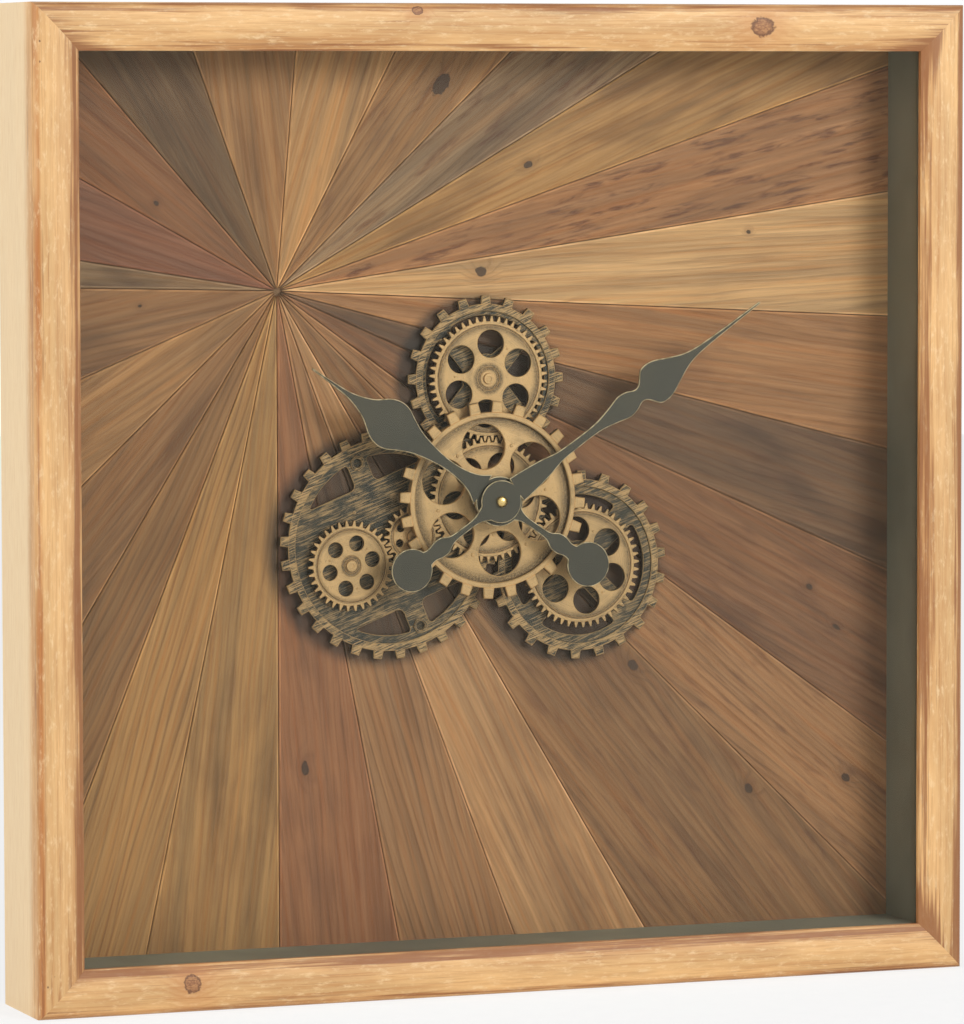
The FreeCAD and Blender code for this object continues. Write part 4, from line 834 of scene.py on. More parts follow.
# How much the front is toned orange by the outer arris, and scorched there and on the slope; this
# toning and scorch are partly real and partly painted shade of the rail's rounded front
SCORCH_AND_EDGE_SHADE = {"frame_left": (1.0, 0.45, 0.85), "frame_top": (0.6, 0.75, 0.6),
          "frame_right": (0.45, 1.0, 0.8), "frame_bottom": (0.35, 0.55, 0.9)}


def rail_mark(rail, along, across):
    """A place on a rail's front in millimetres of its grain."""
    number = RAILS[rail]
    return ((along + RAIL_SHIFT[0] * number) / MM, (across + RAIL_SHIFT[1] * number) / MM, 0.6)


def rail_profile(sizes):
    """Places across a rail (from its outer side) and behind its front."""
    width = sizes.rail_width
    crown = 0.0006
    points = [(0.0, DEPTH * share) for share in (1.0, 0.75, 0.5, 0.3, 0.15)]
    radius = sizes.edge_round
    for step in range(9):
        turn = math.radians(90 * step / 8)
        points.append((radius - radius * math.cos(turn), crown + radius - radius * math.sin(turn)))
    ridge = width - sizes.slope_run
    for step in range(1, 9):
        share = step / 8
        points.append((radius + (ridge - radius) * share, crown * (2 * share - 1) ** 2))
    for step in range(1, 7):
        share = step / 6
        points.append((ridge + sizes.slope_run * share,
                       crown + (sizes.lip_drop - crown) * (0.35 * share + 0.65 * share ** 2)))
    rebate = width - sizes.lip_width
    points += [(width, sizes.glass_depth), (rebate, sizes.glass_depth), (rebate, DEPTH)]
    return points


def rail_place(number):
    """From a bottom rail's drawing to each rail's place: turned about the frame's middle."""
    middle = Matrix.Translation((0, 0, HEIGHT / 2))
    return middle @ Matrix.Rotation(math.radians(-90 * number), 4, "Y")


def make_rail(name, sizes):
    number = RAILS[name]
    profile = rail_profile(sizes)
    half = WIDTH / 2
    stations = 90
    wobble = random.Random(40 + number)
    waves = [(wobble.uniform(3, 9), wobble.uniform(0, 6.3), wobble.uniform(0.5, 1))
             for _ in range(5)]
    builder = Builder()
    rows = []
    for step in range(stations + 1):
        share = step / stations
        swell = sum(size * math.sin(rate * 6.28 * share + start) for rate, start, size in waves) / 5
        swell *= min(min(share, 1 - share) * 12, 1.0)
        line = []
        for across, back in profile:
            reach = half - across
            soft = 1.0 if 0.0001 < across < sizes.edge_round and back < 0.01 else 0.25
            outer = across < sizes.rail_width - 0.001 and back < 0.02
            dent = DENT * swell * soft if outer and across > 0.0001 else 0.0
            line.append(builder.mesh.verts.new((
                -reach + 2 * reach * share, FRONT + back + abs(dent), -HEIGHT / 2 + across)))
        rows.append(line)
    for first, second in zip(rows, rows[1:]):
        builder.skin(first, second)
    builder.face(rows[0])
    builder.face(rows[-1][::-1])
    item = builder.object(name + "_pine")
    item.data.transform(rail_place(number))
    if name == "frame_top":
        carve_hanger_seats(item)
    turn_back = rail_place(number).inverted()

    def grain(point):
        local = turn_back @ point
        return (local.x + RAIL_SHIFT[0] * number,
                local.z + HEIGHT / 2 + RAIL_SHIFT[1] * number, local.y - FRONT)

    def wear(point):
        local = turn_back @ point
        across = (local.z + HEIGHT / 2) / sizes.rail_width
        toned_and_shade, edge, slope = SCORCH_AND_EDGE_SHADE[name]
        # Behind the front: paler side wood, and on the left rail painted light as well
        if local.y - FRONT > 0.012:
            return (0.0, 0.15, 0.9 if name == "frame_left" else 0.3)
        # The toning at the arris, its rise across toward the slope and the scorch at the edges are
        # partly real and partly painted shade of the rounded front
        on_arris = min(1.0, max(0.0, 1.5 - abs(across - 0.07) / 0.06))
        on_edge = min(1.0, max(0.0, 1.2 - abs(across - 0.06) / 0.24))
        on_slope = min(1.0, max(0.0, 1.2 - abs(across - 0.92) / 0.26))
        crown = 0.35 * max(0.0, across - 0.4)
        from_mitre = half - abs(local.x) - across * sizes.rail_width
        corner = 1.6 * edge * max(0.0, 1.0 - from_mitre / 0.055) * min(1.0, across)
        return (toned_and_shade * on_arris + crown + 0.2 * on_slope,
                max(edge * on_edge, slope * on_slope, corner), 0.0)

    mark_vectors(item, "grain", grain)
    mark_vectors(item, "wear", wear)
    settle(item, "pine", STILL, name)


def carve_hanger_seats(item):
    """Seats and head pockets behind the two keyhole plates."""
    low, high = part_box("hanger_plates")
    back = CAD_BOX[1][1] + 0.002
    plate = 0.050
    for side in (-1, 1):
        middle = side * ((high.x - low.x) - plate) / 2
        seat = block((middle - plate / 2, low.y, low.z), (middle + plate / 2, back, high.z))
        height = (low.z + high.z) / 2
        pocket = block((middle - 0.008, low.y - 0.009, height - 0.008),
                       (middle + 0.008, back, height + 0.008))
        carve(item, seat, pocket)


class MakeFrame(bpy.types.Operator):
    """Four mitred pine rails"""
    bl_idname = "gear_clock.frame_rails"
    bl_label = "Frame rails"

    def execute(self, context):
        for name in RAILS:
            make_rail(name, context.scene.clock_frame)
        return {"FINISHED"}


class MakeGlass(bpy.types.Operator):
    """Glass pane and the dark liners behind it"""
    bl_idname = "gear_clock.glass_and_liners"
    bl_label = "Glass and liners"

    def execute(self, context):
        refinish("glass_pane", "glass")
        # The liners' grey paint also stands in for the glass's reflection over them, as painted
        # reflection
        for side in ("bottom", "right", "top", "left"):
            refinish("liner_" + side, "liner")
        return {"FINISHED"}


# Plank panel

PLANK_JOINTS = [8.0, 18.5, 30.0, 43.5, 62.0, 85.0, 110.0, 131.5, 151.0, 171.0, 178.5, 202.5,
                223.0, 238.0, 248.0, 258.0, 270.0, 281.0, 291.0, 301.0, 316.0, 324.5, 336.0,
                345.5, 357.0]
STAINS = {
    "honey": (0.71, 0.43, 0.19),
    "oat": (0.58, 0.315, 0.13),
    "tan": (0.50, 0.25, 0.095),
    "cinnamon": (0.44, 0.215, 0.085),
    "driftwood": (0.38, 0.215, 0.11),
    "chestnut": (0.36, 0.165, 0.065),
    "russet": (0.31, 0.135, 0.055),
    "mahogany": (0.27, 0.115, 0.055),
    "umber": (0.20, 0.10, 0.05),
}
PLANK_STAINS = ["cinnamon", "tan", "driftwood", "cinnamon", "oat", "cinnamon", "umber", "russet",
                "mahogany", "driftwood", "chestnut", "tan", "chestnut", "chestnut", "tan", "tan",
                "chestnut", "cinnamon", "oat", "chestnut", "cinnamon", "russet", "umber",
                "cinnamon", "honey"]
# Red-brown blots, dark smudges and growth lines: of most planks, and of those that differ
PLAIN_WEAR = (0.2, 0.5, 0.28)
PLANK_WEAR = {1: (0.85, 0.3, 0.25), 2: (0.15, 0.7, 0.3), 3: (0.6, 0.6, 0.4), 4: (0.4, 0.5, 0.4),
              9: (0.1, 0.6, 0.3), 10: (0.2, 1.0, 0.3), 14: (0.1, 0.3, 0.5), 15: (0.05, 0.25, 0.55),
              18: (0.1, 0.4, 0.6), 20: (0.4, 0.5, 0.4), 21: (0.5, 0.4, 0.5), 22: (0.5, 0.6, 0.4),
              23: (0.3, 0.9, 0.3), 24: (0.2, 0.6, 0.3), 25: (0.03, 0.2, 0.3)}
# Plank, distance and direction from the burst, size in millimetres, stretch along the grain
PLANK_MARKS = [(2, 0.179, 24.8, 2.2, 1.5), (4, 0.163, 49.5, 4.5, 1.8),
               (8, 0.093, 144.9, 1.5, 1.2), (11, 0.087, 185.2, 1.0, 1.4),
               (17, 0.291, 273.3, 2.4, 1.9), (20, 0.330, 314.6, 3.0, 1.4),
               (20, 0.442, 314.5, 2.6, 1.3), (21, 0.488, 320.4, 2.6, 1.3),
               (22, 0.399, 331.6, 1.9, 1.3), (22, 0.428, 329.7, 1.5, 2.0),
               (25, 0.132, 364.4, 3.2, 1.2), (25, 0.311, 366.0, 1.3, 1.2)]
# Where the planks meet, right of and above the panel's middle
BURST = (-0.1326, 0.1274)
# Half the gap between two planks, and the depth of their eased arrises
PLANK_GAP = 0.0003
PLANK_EASE = 0.0006
# How far along, across and in each plank's grain starts from that of the plank before it
PLANK_SHIFT = (0.37, 0.05, 0.01)
# The left wheel's middle, right of and above the hands' axis
LEFT_WHEEL = (-0.0631, -0.0262)
# Painted shadow of the fixed wheels on the planks: each wheel's middle right of and above the axis,
# and how far its dark disc reaches
WHEEL_SHADOW_DISCS = [(*LEFT_WHEEL, 0.069), (0.0, 0.0739, 0.050), (0.0608, -0.0421, 0.057)]
# How far left of and below its wheel each disc of painted shadow lies
WHEEL_SHADOW_SHIFT = (0.005, 0.002)


def cut_outline(points, origin, direction, distance):
    """Keep the part of a convex outline that lies left of a line shifted by distance."""
    normal = Vector((-direction.y, direction.x))
    kept = []
    for number, point in enumerate(points):
        after = points[(number + 1) % len(points)]
        here = (point - origin).dot(normal) - distance
        there = (after - origin).dot(normal) - distance
        if here >= 0:
            kept.append(point)
        if (here > 0) != (there > 0):
            kept.append(point.lerp(after, here / (here - there)))
    return kept


def plank_outline(first, last, half_width, half_height, gap):
    """The wedge between two directions from the burst, cut to the panel."""
    burst = Vector(BURST)
    points = [Vector((-half_width, -half_height)), Vector((half_width, -half_height)),
              Vector((half_width, half_height)), Vector((-half_width, half_height))]
    points = cut_outline(points, burst, Vector(polar(1, first)), gap)
    points = cut_outline(points, burst, -Vector(polar(1, last)), gap)
    return [tuple(point) for point in points]


def plank_span(number):
    first = PLANK_JOINTS[number]
    last = PLANK_JOINTS[(number + 1) % len(PLANK_JOINTS)]
    return first, last + 360 if last < first else last


def plank_grain(number, right, up):
    """Along and across a plank's grain, from its burst, each plank on its own stretch."""
    middle = math.radians(sum(plank_span(number)) / 2)
    along, across, inward = PLANK_SHIFT
    return (right * math.cos(middle) + up * math.sin(middle) + along * number,
            -right * math.sin(middle) + up * math.cos(middle) + across * number, inward * number)


def plank_mark(plank, reach, direction):
    """A place on a plank's front in millimetres of its grain."""
    return tuple(part / MM for part in plank_grain(plank - 1, *polar(reach, direction)))


def make_plank(number):
    name = "plank_%02d" % (number + 1)
    first, last = plank_span(number)
    low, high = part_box("back_board")
    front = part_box("plank_01")[0].y
    thickness = low.y - front
    half_width, half_height = abs(low.x), (high.z - low.z) / 2
    outline = plank_outline(first, last, half_width, half_height, PLANK_GAP)
    face = plank_outline(first, last, half_width, half_height, PLANK_GAP + 0.001)
    chance = random.Random(70 + number)
    builder = Builder()
    backs = builder.row(outline, 0)
    walls = builder.row(outline, thickness - PLANK_EASE)
    fronts = builder.row(face, thickness)
    builder.skin(backs, walls)
    builder.skin(walls, fronts, 1.0)
    builder.face(fronts)
    builder.face(backs[::-1])
    item = builder.object(name + "_board",
                          front_view(0, front - FRONT + thickness, HEIGHT / 2))
    burst = (BURST[0], BURST[1] + HEIGHT / 2)
    stain = [part * chance.uniform(0.94, 1.06) for part in STAINS[PLANK_STAINS[number]]]
    wear = PLANK_WEAR.get(number + 1, PLAIN_WEAR)
    mark_vectors(item, "grain",
                 lambda point: plank_grain(number, point.x - burst[0], point.z - burst[1]))
    mark_vectors(item, "stain", lambda point: stain)
    mark_vectors(item, "wear", lambda point: wear)
    settle(item, "plank", STILL, name)


class MakePlanks(bpy.types.Operator):
    """Planks that run out from one point"""
    bl_idname = "gear_clock.planks"
    bl_label = "Plank panel"

    def execute(self, context):
        for number in range(len(PLANK_JOINTS)):
            make_plank(number)
        return {"FINISHED"}


# Fixed wheels

# Depth of the wheels' backs behind the frame's front, and how thick their webs and rims are
WHEEL_BACK = 0.0506
WEB = 0.002
RIM = 0.0032
# Inner radius of the rim, radius at the teeth's roots and tips, teeth, degrees of the first
WHEELS = {"left_wheel": (0.0603, 0.065, 0.07, 29, 3.1),
          "top_wheel": (0.041, 0.0456, 0.0506, 20, 17.8),
          "right_wheel": (0.0484, 0.053, 0.058, 22, 6.2)}
# Room kept for the left wheel's teeth, and for the sleeve on the hands' axis
LEFT_ROOM = 0.0704
SLEEVE_ROOM = 0.007
# Radius of the left wheel's bolt holes, of a wheel's rivet and of a gear's pin
BOLT_HOLE = 0.0028
RIVET = 0.0011
PIN_RADIUS = 0.0025


def gear_place(node):
    """The middle of a round node, right of and above the frame's bottom middle."""
    low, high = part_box(node)
    return ((low.x + high.x) / 2, (low.z + high.z) / 2)


def direction_to(start, end):
    return math.atan2(end[1] - start[1], end[0] - start[0])


def tooth_block(base, tip, root_half, tip_half, low, high, chamfer):
    builder = Builder()
    loop = [(base, -root_half), (tip, -tip_half), (tip, tip_half), (base, root_half)]
    builder.plate([loop], low, high, chamfer)
    return builder


def rounded(corners, radius):
    """Round the corners of a closed outline of straight or finely stepped sides."""
    steps = 5
    points = []
    count = len(corners)
    for number in range(count):
        here = Vector(corners[number])
        before = Vector(corners[number - 1]) - here
        after = Vector(corners[(number + 1) % count]) - here
        turn = math.pi - before.angle(after)
        if turn < math.radians(30):
            points.append(tuple(here))
            continue
        reach = min(radius * math.tan(turn / 2), before.length * 0.9, after.length * 0.9)
        start = here + before.normalized() * reach
        end = here + after.normalized() * reach
        for step in range(steps + 1):
            share = step / steps
            points.append(tuple(start.lerp(here, share).lerp(here.lerp(end, share), share)))
    return points


# The two collars, from the left wheel's middle
COLLAR_PLACES = [polar(0.054, turn) for turn in (112, -68)]


def mark_local(item, centre, radius):
    """Where each point is from its gear's axis, and that gear's own radius."""
    mark_vectors(item, "local",
                 lambda point: (point.x - centre[0], point.z - centre[1], radius))


def mark_raised(item, depth):
    """Mark the faces that stand in front of a depth, which catch the dry brush."""
    layer = item.data.attributes.new("raised", "FLOAT", "FACE")
    for number, face in enumerate(item.data.polygons):
        layer.data[number].value = 1.0 if face.center.y < FRONT + depth else 0.0


def make_wheel(node, centre, windows, neighbour, room, bolts=(), rivet=None):
    """A thin web with windows, a raised rim and square teeth, clear of its neighbour."""
    rim_inner, root, tip, teeth, turn = WHEELS[node]
    chamfer = bpy.context.scene.clock_gears.chamfer
    builder = Builder()
    recesses = [ring(BOLT_HOLE, 24, place, True) for place in bolts]
    builder.plate([ring(root - 0.001, 120)] + windows + recesses, 0, WEB, chamfer)
    # A shallow floor in each bolt hole is marked dark, as painted shade in the hole
    for place in bolts:
        builder.plate([ring(BOLT_HOLE + 0.00005, 24, place)], 0, 0.0006, 0.00005, -1.0)
    if rivet:
        builder.plate([ring(RIVET, 16, rivet)], 0.001, WEB + 0.0006, 0.0005)
    builder.plate([ring(root, 144), ring(rim_inner, 144, clockwise=True)], 0.0001, RIM, chamfer)
    tooth = tooth_block(root - 0.0008, tip, 0.0034, 0.0027, 0, RIM, chamfer * 1.3)
    item = with_teeth(builder.object(node + "_iron"), tooth, teeth, math.radians(turn), "iron")
    item.data.transform(front_view(centre[0], WHEEL_BACK, centre[1]))
    keep_clear(item, neighbour, room)
    mark_raised(item, WHEEL_BACK - WEB - 0.0003)
    settle(item, "iron", STILL, node)


def band_windows():
    """Four windows of the left wheel: two each side of its band, split by a spoke."""
    windows = []
    reach = 0.0555
    band = 0.0395
    spoke = 0.0066
    far = math.degrees(math.asin(band / reach))
    near = math.degrees(math.acos(spoke / reach))
    for turn in (22, 202):
        for side in (1, -1):
            start, end = (far, near) if side > 0 else (180 - near, 180 - far)
            corners = arc((0, 0), reach, start, end, 14) + [(spoke * side, band)]
            corners = rounded(corners, 0.0042)
            spin = math.radians(turn)
            points = [(x * math.cos(spin) - y * math.sin(spin),
                       x * math.sin(spin) + y * math.cos(spin)) for x, y in corners]
            windows.append(clockwise(points))
    return windows


def clockwise(points):
    area = sum(a[0] * b[1] - b[0] * a[1] for a, b in zip(points, points[1:] + points[:1]))
    return points[::-1] if area > 0 else points


def ray_windows(inner, outer, inner_half, outer_half):
    """Four windows between flaring spokes."""
    windows = []
    for turn in (0, 90, 180, 270):
        corners = arc((0, 0), outer, turn - outer_half, turn + outer_half, 14)
        corners += arc((0, 0), inner, turn + inner_half, turn - inner_half, 5)
        windows.append(clockwise(rounded(corners, 0.0024)))
    return windows


def keep_clear(item, centre, radius):
    """Move what lies inside a circle out to its rim, so that a neighbour has room."""
    for vertex in item.data.vertices:
        away = Vector((vertex.co.x - centre[0], vertex.co.z - centre[1]))
        if away.length < radius:
            away *= radius / max(away.length, 1e-6)
            vertex.co.x = centre[0] + away.x
            vertex.co.z = centre[1] + away.y


class MakeWheels(bpy.types.Operator):
    """Three fixed toothed wheels"""
    bl_idname = "gear_clock.fixed_wheels"
    bl_label = "Fixed wheels"

    def execute(self, context):
        left = (AXIS[0] + LEFT_WHEEL[0], AXIS[1] + LEFT_WHEEL[1])
        make_wheel("left_wheel", left, band_windows(), AXIS, SLEEVE_ROOM, COLLAR_PLACES,
                   (-0.0221, 0.0200))
        make_wheel("top_wheel", gear_place("top_gear"), ray_windows(0.015, 0.0386, 16, 38),
                   left, LEFT_ROOM)
        make_wheel("right_wheel", gear_place("right_gear"), ray_windows(0.015, 0.0434, 16, 34.5),
                   left, LEFT_ROOM)
        return {"FINISHED"}


# Turning gears

# Depth of the gears' backs behind the frame's front, their thickness, and their rivets' radius
GEAR_BACK = 0.046
GEAR_THICK = 0.003
DOT = 0.0008
# Body, radius of the six holes and of their ring, degrees of the first hole, radius of the boss
FINE_GEARS = {"centre_fine_gear": ("centre_set", 0.0086, 0.0216, 8, 0.0065),
              "top_gear": ("top_turning_gear", 0.0086, 0.0214, 26, 0.0053),
              "right_gear": ("right_turning_gear", 0.0086, 0.0218, 39, 0.0053),
              "left_gear": ("left_turning_gear", 0.00475, 0.0141, 15.5, 0.0046),
              "idler_gear": ("idler_turning_gear", 0.0024, 0.0093, 26, 0.0042)}


def meshed_turn(direction, teeth, first, next_teeth):
    """First tooth of the next gear, so that its gap meets this gear's tooth."""
    share = ((direction - first) * teeth / (2 * math.pi)) % 1
    return direction + math.pi - (0.5 - share) * 2 * math.pi / next_teeth


def fine_gear_body(radius, groove, hole_radius, hole_ring, hole_turn, boss, chamfer):
    """A disc in two steps, so that a groove shows between its rim and its web."""
    builder = Builder()
    holes = [ring(hole_radius, 40, polar(hole_ring, hole_turn + 60 * number), True)
             for number in range(6)]
    backing = GEAR_THICK - 0.0006
    builder.plate([ring(radius, 120)] + holes, 0, backing, 0.00002)
    builder.plate([ring(radius, 120), ring(groove + 0.0004, 96, clockwise=True)],
                  backing - 0.0002, GEAR_THICK, chamfer)
    builder.plate([ring(groove - 0.0004, 96)] + holes + [ring(boss + 0.0017, 48, clockwise=True)],
                  backing - 0.0002, GEAR_THICK, chamfer)
    builder.lathe([(0, backing - 0.0002), (boss, backing - 0.0002), (boss, GEAR_THICK - 0.0003),
                   (boss - 0.0003, GEAR_THICK), (0, GEAR_THICK)], 40, (2,))
    return builder


def make_fine_gear(node, teeth, turn, centre):
    body, hole_radius, hole_ring, hole_turn, boss = FINE_GEARS[node]
    gears = bpy.context.scene.clock_gears
    pitch = gears.fine_module * teeth / 2
    root = pitch - 0.0019
    builder = fine_gear_body(root, root - 0.0023, hole_radius, hole_ring, hole_turn, boss,
                             gears.chamfer * 0.7)
    if teeth > 30:
        for number in range(3):
            place = polar(hole_ring * 1.02, hole_turn + 30 + 120 * number)
            builder.plate([ring(DOT, 14, place)], GEAR_THICK - 0.0002, GEAR_THICK + 0.00035,
                          DOT * 0.4)
    tooth = tooth_block(root - 0.0008, pitch + 0.0014, 0.00145, 0.0005, 0, GEAR_THICK,
                        gears.chamfer * 0.6)
    item = with_teeth(builder.object(node.replace("_gear", "_bronze")), tooth, teeth, turn,
                      "bronze")
    item.data.transform(front_view(centre[0], GEAR_BACK, centre[1]))
    mark_local(item, centre, root)
    settle(item, "bronze", body, node)


class MakeFineGears(bpy.types.Operator):
    """Fine-toothed gears that turn behind the centre gear"""
    bl_idname = "gear_clock.fine_gears"
    bl_label = "Fine gears"

    def execute(self, context):
        gears = context.scene.clock_gears
        large, left, idler = gears.large_teeth, gears.left_teeth, gears.idler_teeth
        top_place, right_place = gear_place("top_gear"), gear_place("right_gear")
        centre_turn = math.radians(7.23)
        up = meshed_turn(direction_to(AXIS, top_place), large, centre_turn, large)
        right = meshed_turn(direction_to(AXIS, right_place), large, centre_turn, large)
        way = math.radians(203.14)
        idler_turn = meshed_turn(way, large, centre_turn, idler)
        left_turn = meshed_turn(way, idler, idler_turn, left)
        make_fine_gear("centre_fine_gear", large, centre_turn, AXIS)
        make_fine_gear("top_gear", large, up, top_place)
        make_fine_gear("right_gear", large, right, right_place)
        make_fine_gear("left_gear", left, left_turn, gear_place("left_gear"))
        make_fine_gear("idler_gear", idler, idler_turn, gear_place("idler_gear"))
        return {"FINISHED"}


def web_sector(hub, rim, hole_ring, hole, slope, back, chamfer):
    """One sixth of a dished web with its round hole; its faces run in rings round the hole."""
    builder = Builder()
    half = math.radians(30)
    samples = 48
    turns = [2 * math.pi * step / samples for step in range(samples)]
    for radius, angle in ((hub, half), (hub, -half), (rim, half), (rim, -half)):
        turns.append(math.atan2(radius * math.sin(angle), radius * math.cos(angle) - hole_ring))
    turns = sorted(turn % (2 * math.pi) for turn in turns)
    turns = [turn for number, turn in enumerate(turns)
             if number == 0 or turn - turns[number - 1] > 0.01]

    def border(turn):
        way = Vector((math.cos(turn), math.sin(turn)))
        start = Vector((hole_ring, 0))
        reaches = []
        for angle in (half, -half):
            side = Vector((math.cos(angle), math.sin(angle)))
            cross = way.x * side.y - way.y * side.x
            if abs(cross) > 1e-9:
                reaches.append((start.y * side.x - start.x * side.y) / cross)
        for radius, inside in ((hub, True), (rim, False)):
            dot = start.dot(way)
            root = dot * dot - start.length_squared + radius * radius
            if root >= 0:
                reaches.append(-dot - math.sqrt(root) if inside else -dot + math.sqrt(root))
        return start + way * min(reach for reach in reaches if reach > 1e-6)

    levels = [0.0, 0.34, 0.67, 1.0]
    rows = []
    for turn in turns:
        outer = border(turn)
        inner = Vector((hole_ring + (hole + chamfer) * math.cos(turn),
                        (hole + chamfer) * math.sin(turn)))
        wall = Vector((hole_ring + hole * math.cos(turn), hole * math.sin(turn)))
        line = [(wall, back), (wall, slope(wall.length) - chamfer)]
        line += [(inner.lerp(outer, level), slope(inner.lerp(outer, level).length))
                 for level in levels]
        line.append((outer, back))
        rows.append([builder.mesh.verts.new((point.x, point.y, height)) for point, height in line])
    count = len(rows[0])
    for number, row in enumerate(rows):
        after = rows[(number + 1) % len(rows)]
        for step in range(count):
            following = (step + 1) % count
            if step == count - 2:
                continue
            builder.face((row[step], after[step], after[following], row[following]),
                         1.0 if step == 1 else 0.0)
    return builder


class MakeCentreGear(bpy.types.Operator):
    """Square-toothed centre gear with a dished web"""
    bl_idname = "gear_clock.centre_gear"
    bl_label = "Centre gear"

    def execute(self, context):
        gears = context.scene.clock_gears
        chamfer = gears.chamfer
        root, rim, hub, thick = 0.0539, 0.0505, 0.012, 0.0045
        low, high = 0.0017, 0.0038
        sixth, rivet_ring = 39, 0.0355

        def slope(radius):
            share = min(max((rim - radius) / (rim - hub), 0.0), 1.0)
            return low + (high - low) * (0.55 * share + 0.45 * share ** 2)

        sector = web_sector(hub, rim, 0.0332, 0.0139, slope, 0.0, chamfer)
        web = with_teeth(link("centre_web", bpy.data.meshes.new("centre_web")), sector, 6,
                         math.radians(sixth), "bronze")
        builder = Builder(web.data)
        bpy.data.objects.remove(web)
        bmesh.ops.remove_doubles(builder.mesh, verts=builder.mesh.verts, dist=0.00002)
        builder.lathe([(root, 0), (root, thick - chamfer), (root - chamfer, thick),
                       (rim + chamfer, thick), (rim, thick - chamfer), (rim - 0.0004, 0)],
                      144, (1, 3), closed=True)
        builder.lathe([(0, -0.0031), (0.009, -0.0031), (0.009, 0.0001), (hub + 0.0002, 0.0001),
                       (hub + 0.0002, high), (0.0105, high + 0.0004), (0.0102, high + 0.0002),
                       (0.0082, high + 0.0002), (0.0080, high + 0.0006), (0, high + 0.0006)],
                      64, (4, 7))
        for number in range(6):
            place = polar(rivet_ring, sixth + 30 + 60 * number)
            builder.plate([ring(RIVET, 16, place)], 0.001, slope(rivet_ring) + 0.0005, 0.0004)
        tooth = tooth_block(root - 0.0006, 0.0603, 0.0037, 0.003, 0, thick, chamfer * 1.2)
        item = with_teeth(builder.object("centre_bronze"), tooth, gears.centre_teeth,
                          math.radians(12.05), "bronze")
        item.data.transform(front_view(AXIS[0], 0.0399, AXIS[1]))
        mark_local(item, AXIS, root)
        settle(item, "bronze", "centre_set", "centre_gear")
        return {"FINISHED"}


class MakePins(bpy.types.Operator):
    """Headed pins, hexagonal collars and the arbors at the centre"""
    bl_idname = "gear_clock.pins_and_collars"
    bl_label = "Pins and collars"

    def execute(self, context):
        head = Builder()
        head.lathe([(0, -0.0076), (PIN_RADIUS, -0.0076), (PIN_RADIUS, 0), (0.0034, 0),
                    (0.0034, 0.0007), (0.0031, 0.00115), (0.0016, 0.0012), (0.0013, 0.0009),
                    (0, 0.0009)], 32, (4,))
        spots = [gear_place(node) + (0,)
                 for node in ("top_gear", "right_gear", "idler_gear", "left_gear")]
        pins = at_spots("gear_pin_heads", spots, head, 5, "bronze")
        pins.data.transform(front_view(0, 0.0429, 0))
        mark_local(pins, AXIS, 0.01)
        settle(pins, "bronze", STILL, "gear_pins")

        collar = Builder()
        collar.plate([ring(0.0049, 6), ring(0.0029, 24, clockwise=True)], 0, 0.0012, 0.00035)
        spots = [(AXIS[0] + LEFT_WHEEL[0] + x, AXIS[1] + LEFT_WHEEL[1] + z, 0)
                 for x, z in COLLAR_PLACES]
        nuts = at_spots("hex_collars", spots, collar, 3, "iron")
        nuts.data.transform(front_view(0, WHEEL_BACK - WEB, 0))
        mark_raised(nuts, 0)
        settle(nuts, "iron", STILL, "collar_nuts")
        for node in ("drive_sleeve", "hour_tube", "minute_arbor"):
            refinish(node, "brass")
        return {"FINISHED"}


# Hands

# Stations along a hand: share of its length, share of its greatest half width
MINUTE_OUTLINE_SHARES = [(0.058, 0.64), (0.12, 0.54), (0.173, 0.41), (0.221, 0.25),
                         (0.27, 0.205), (0.37, 0.22), (0.433, 0.42), (0.471, 0.575),
                         (0.5, 0.52), (0.529, 0.34), (0.548, 0.46), (0.572, 0.9),
                         (0.596, 1.0), (0.625, 0.92), (0.663, 0.64), (0.721, 0.27),
                         (0.793, 0.13), (1.0, 0.05)]
HOUR_OUTLINE_SHARES = [(0.09, 0.7), (0.137, 0.42), (0.185, 0.28), (0.24, 0.21), (0.295, 0.21),
                       (0.35, 0.27), (0.397, 0.355), (0.452, 0.5), (0.507, 0.74),
                       (0.548, 0.94), (0.589, 1.0), (0.637, 0.87), (0.705, 0.43),
                       (0.795, 0.145), (0.877, 0.075), (1.0, 0.035)]
TAIL_OUTLINE_SHARES = [(0.17, 0.4), (0.27, 0.18), (0.42, 0.15), (0.55, 0.19), (0.63, 0.4),
                       (0.7, 0.42), (0.78, 0.33), (0.86, 0.42)]


def smooth_half(shares, length, half_width):
    """Half width of an arm at a place along it, eased between its stations."""
    stations = [(along * length, across * half_width) for along, across in shares]

    def width(along):
        if along <= stations[0][0] or along >= stations[-1][0]:
            return 0.0
        for number in range(len(stations) - 1):
            (x1, y1), (x2, y2) = stations[number], stations[number + 1]
            if x1 <= along <= x2:
                break
        x0, y0 = stations[max(number - 1, 0)]
        x3, y3 = stations[min(number + 2, len(stations) - 1)]
        slope1 = (y2 - y0) / max(x2 - x0, 1e-6)
        slope2 = (y3 - y1) / max(x3 - x1, 1e-6)
        share = (along - x1) / (x2 - x1)
        run = x2 - x1
        return max((2 * share ** 3 - 3 * share ** 2 + 1) * y1
                   + (share ** 3 - 2 * share ** 2 + share) * slope1 * run
                   + (-2 * share ** 3 + 3 * share ** 2) * y2
                   + (share ** 3 - share ** 2) * slope2 * run, 0.0002)

    return width


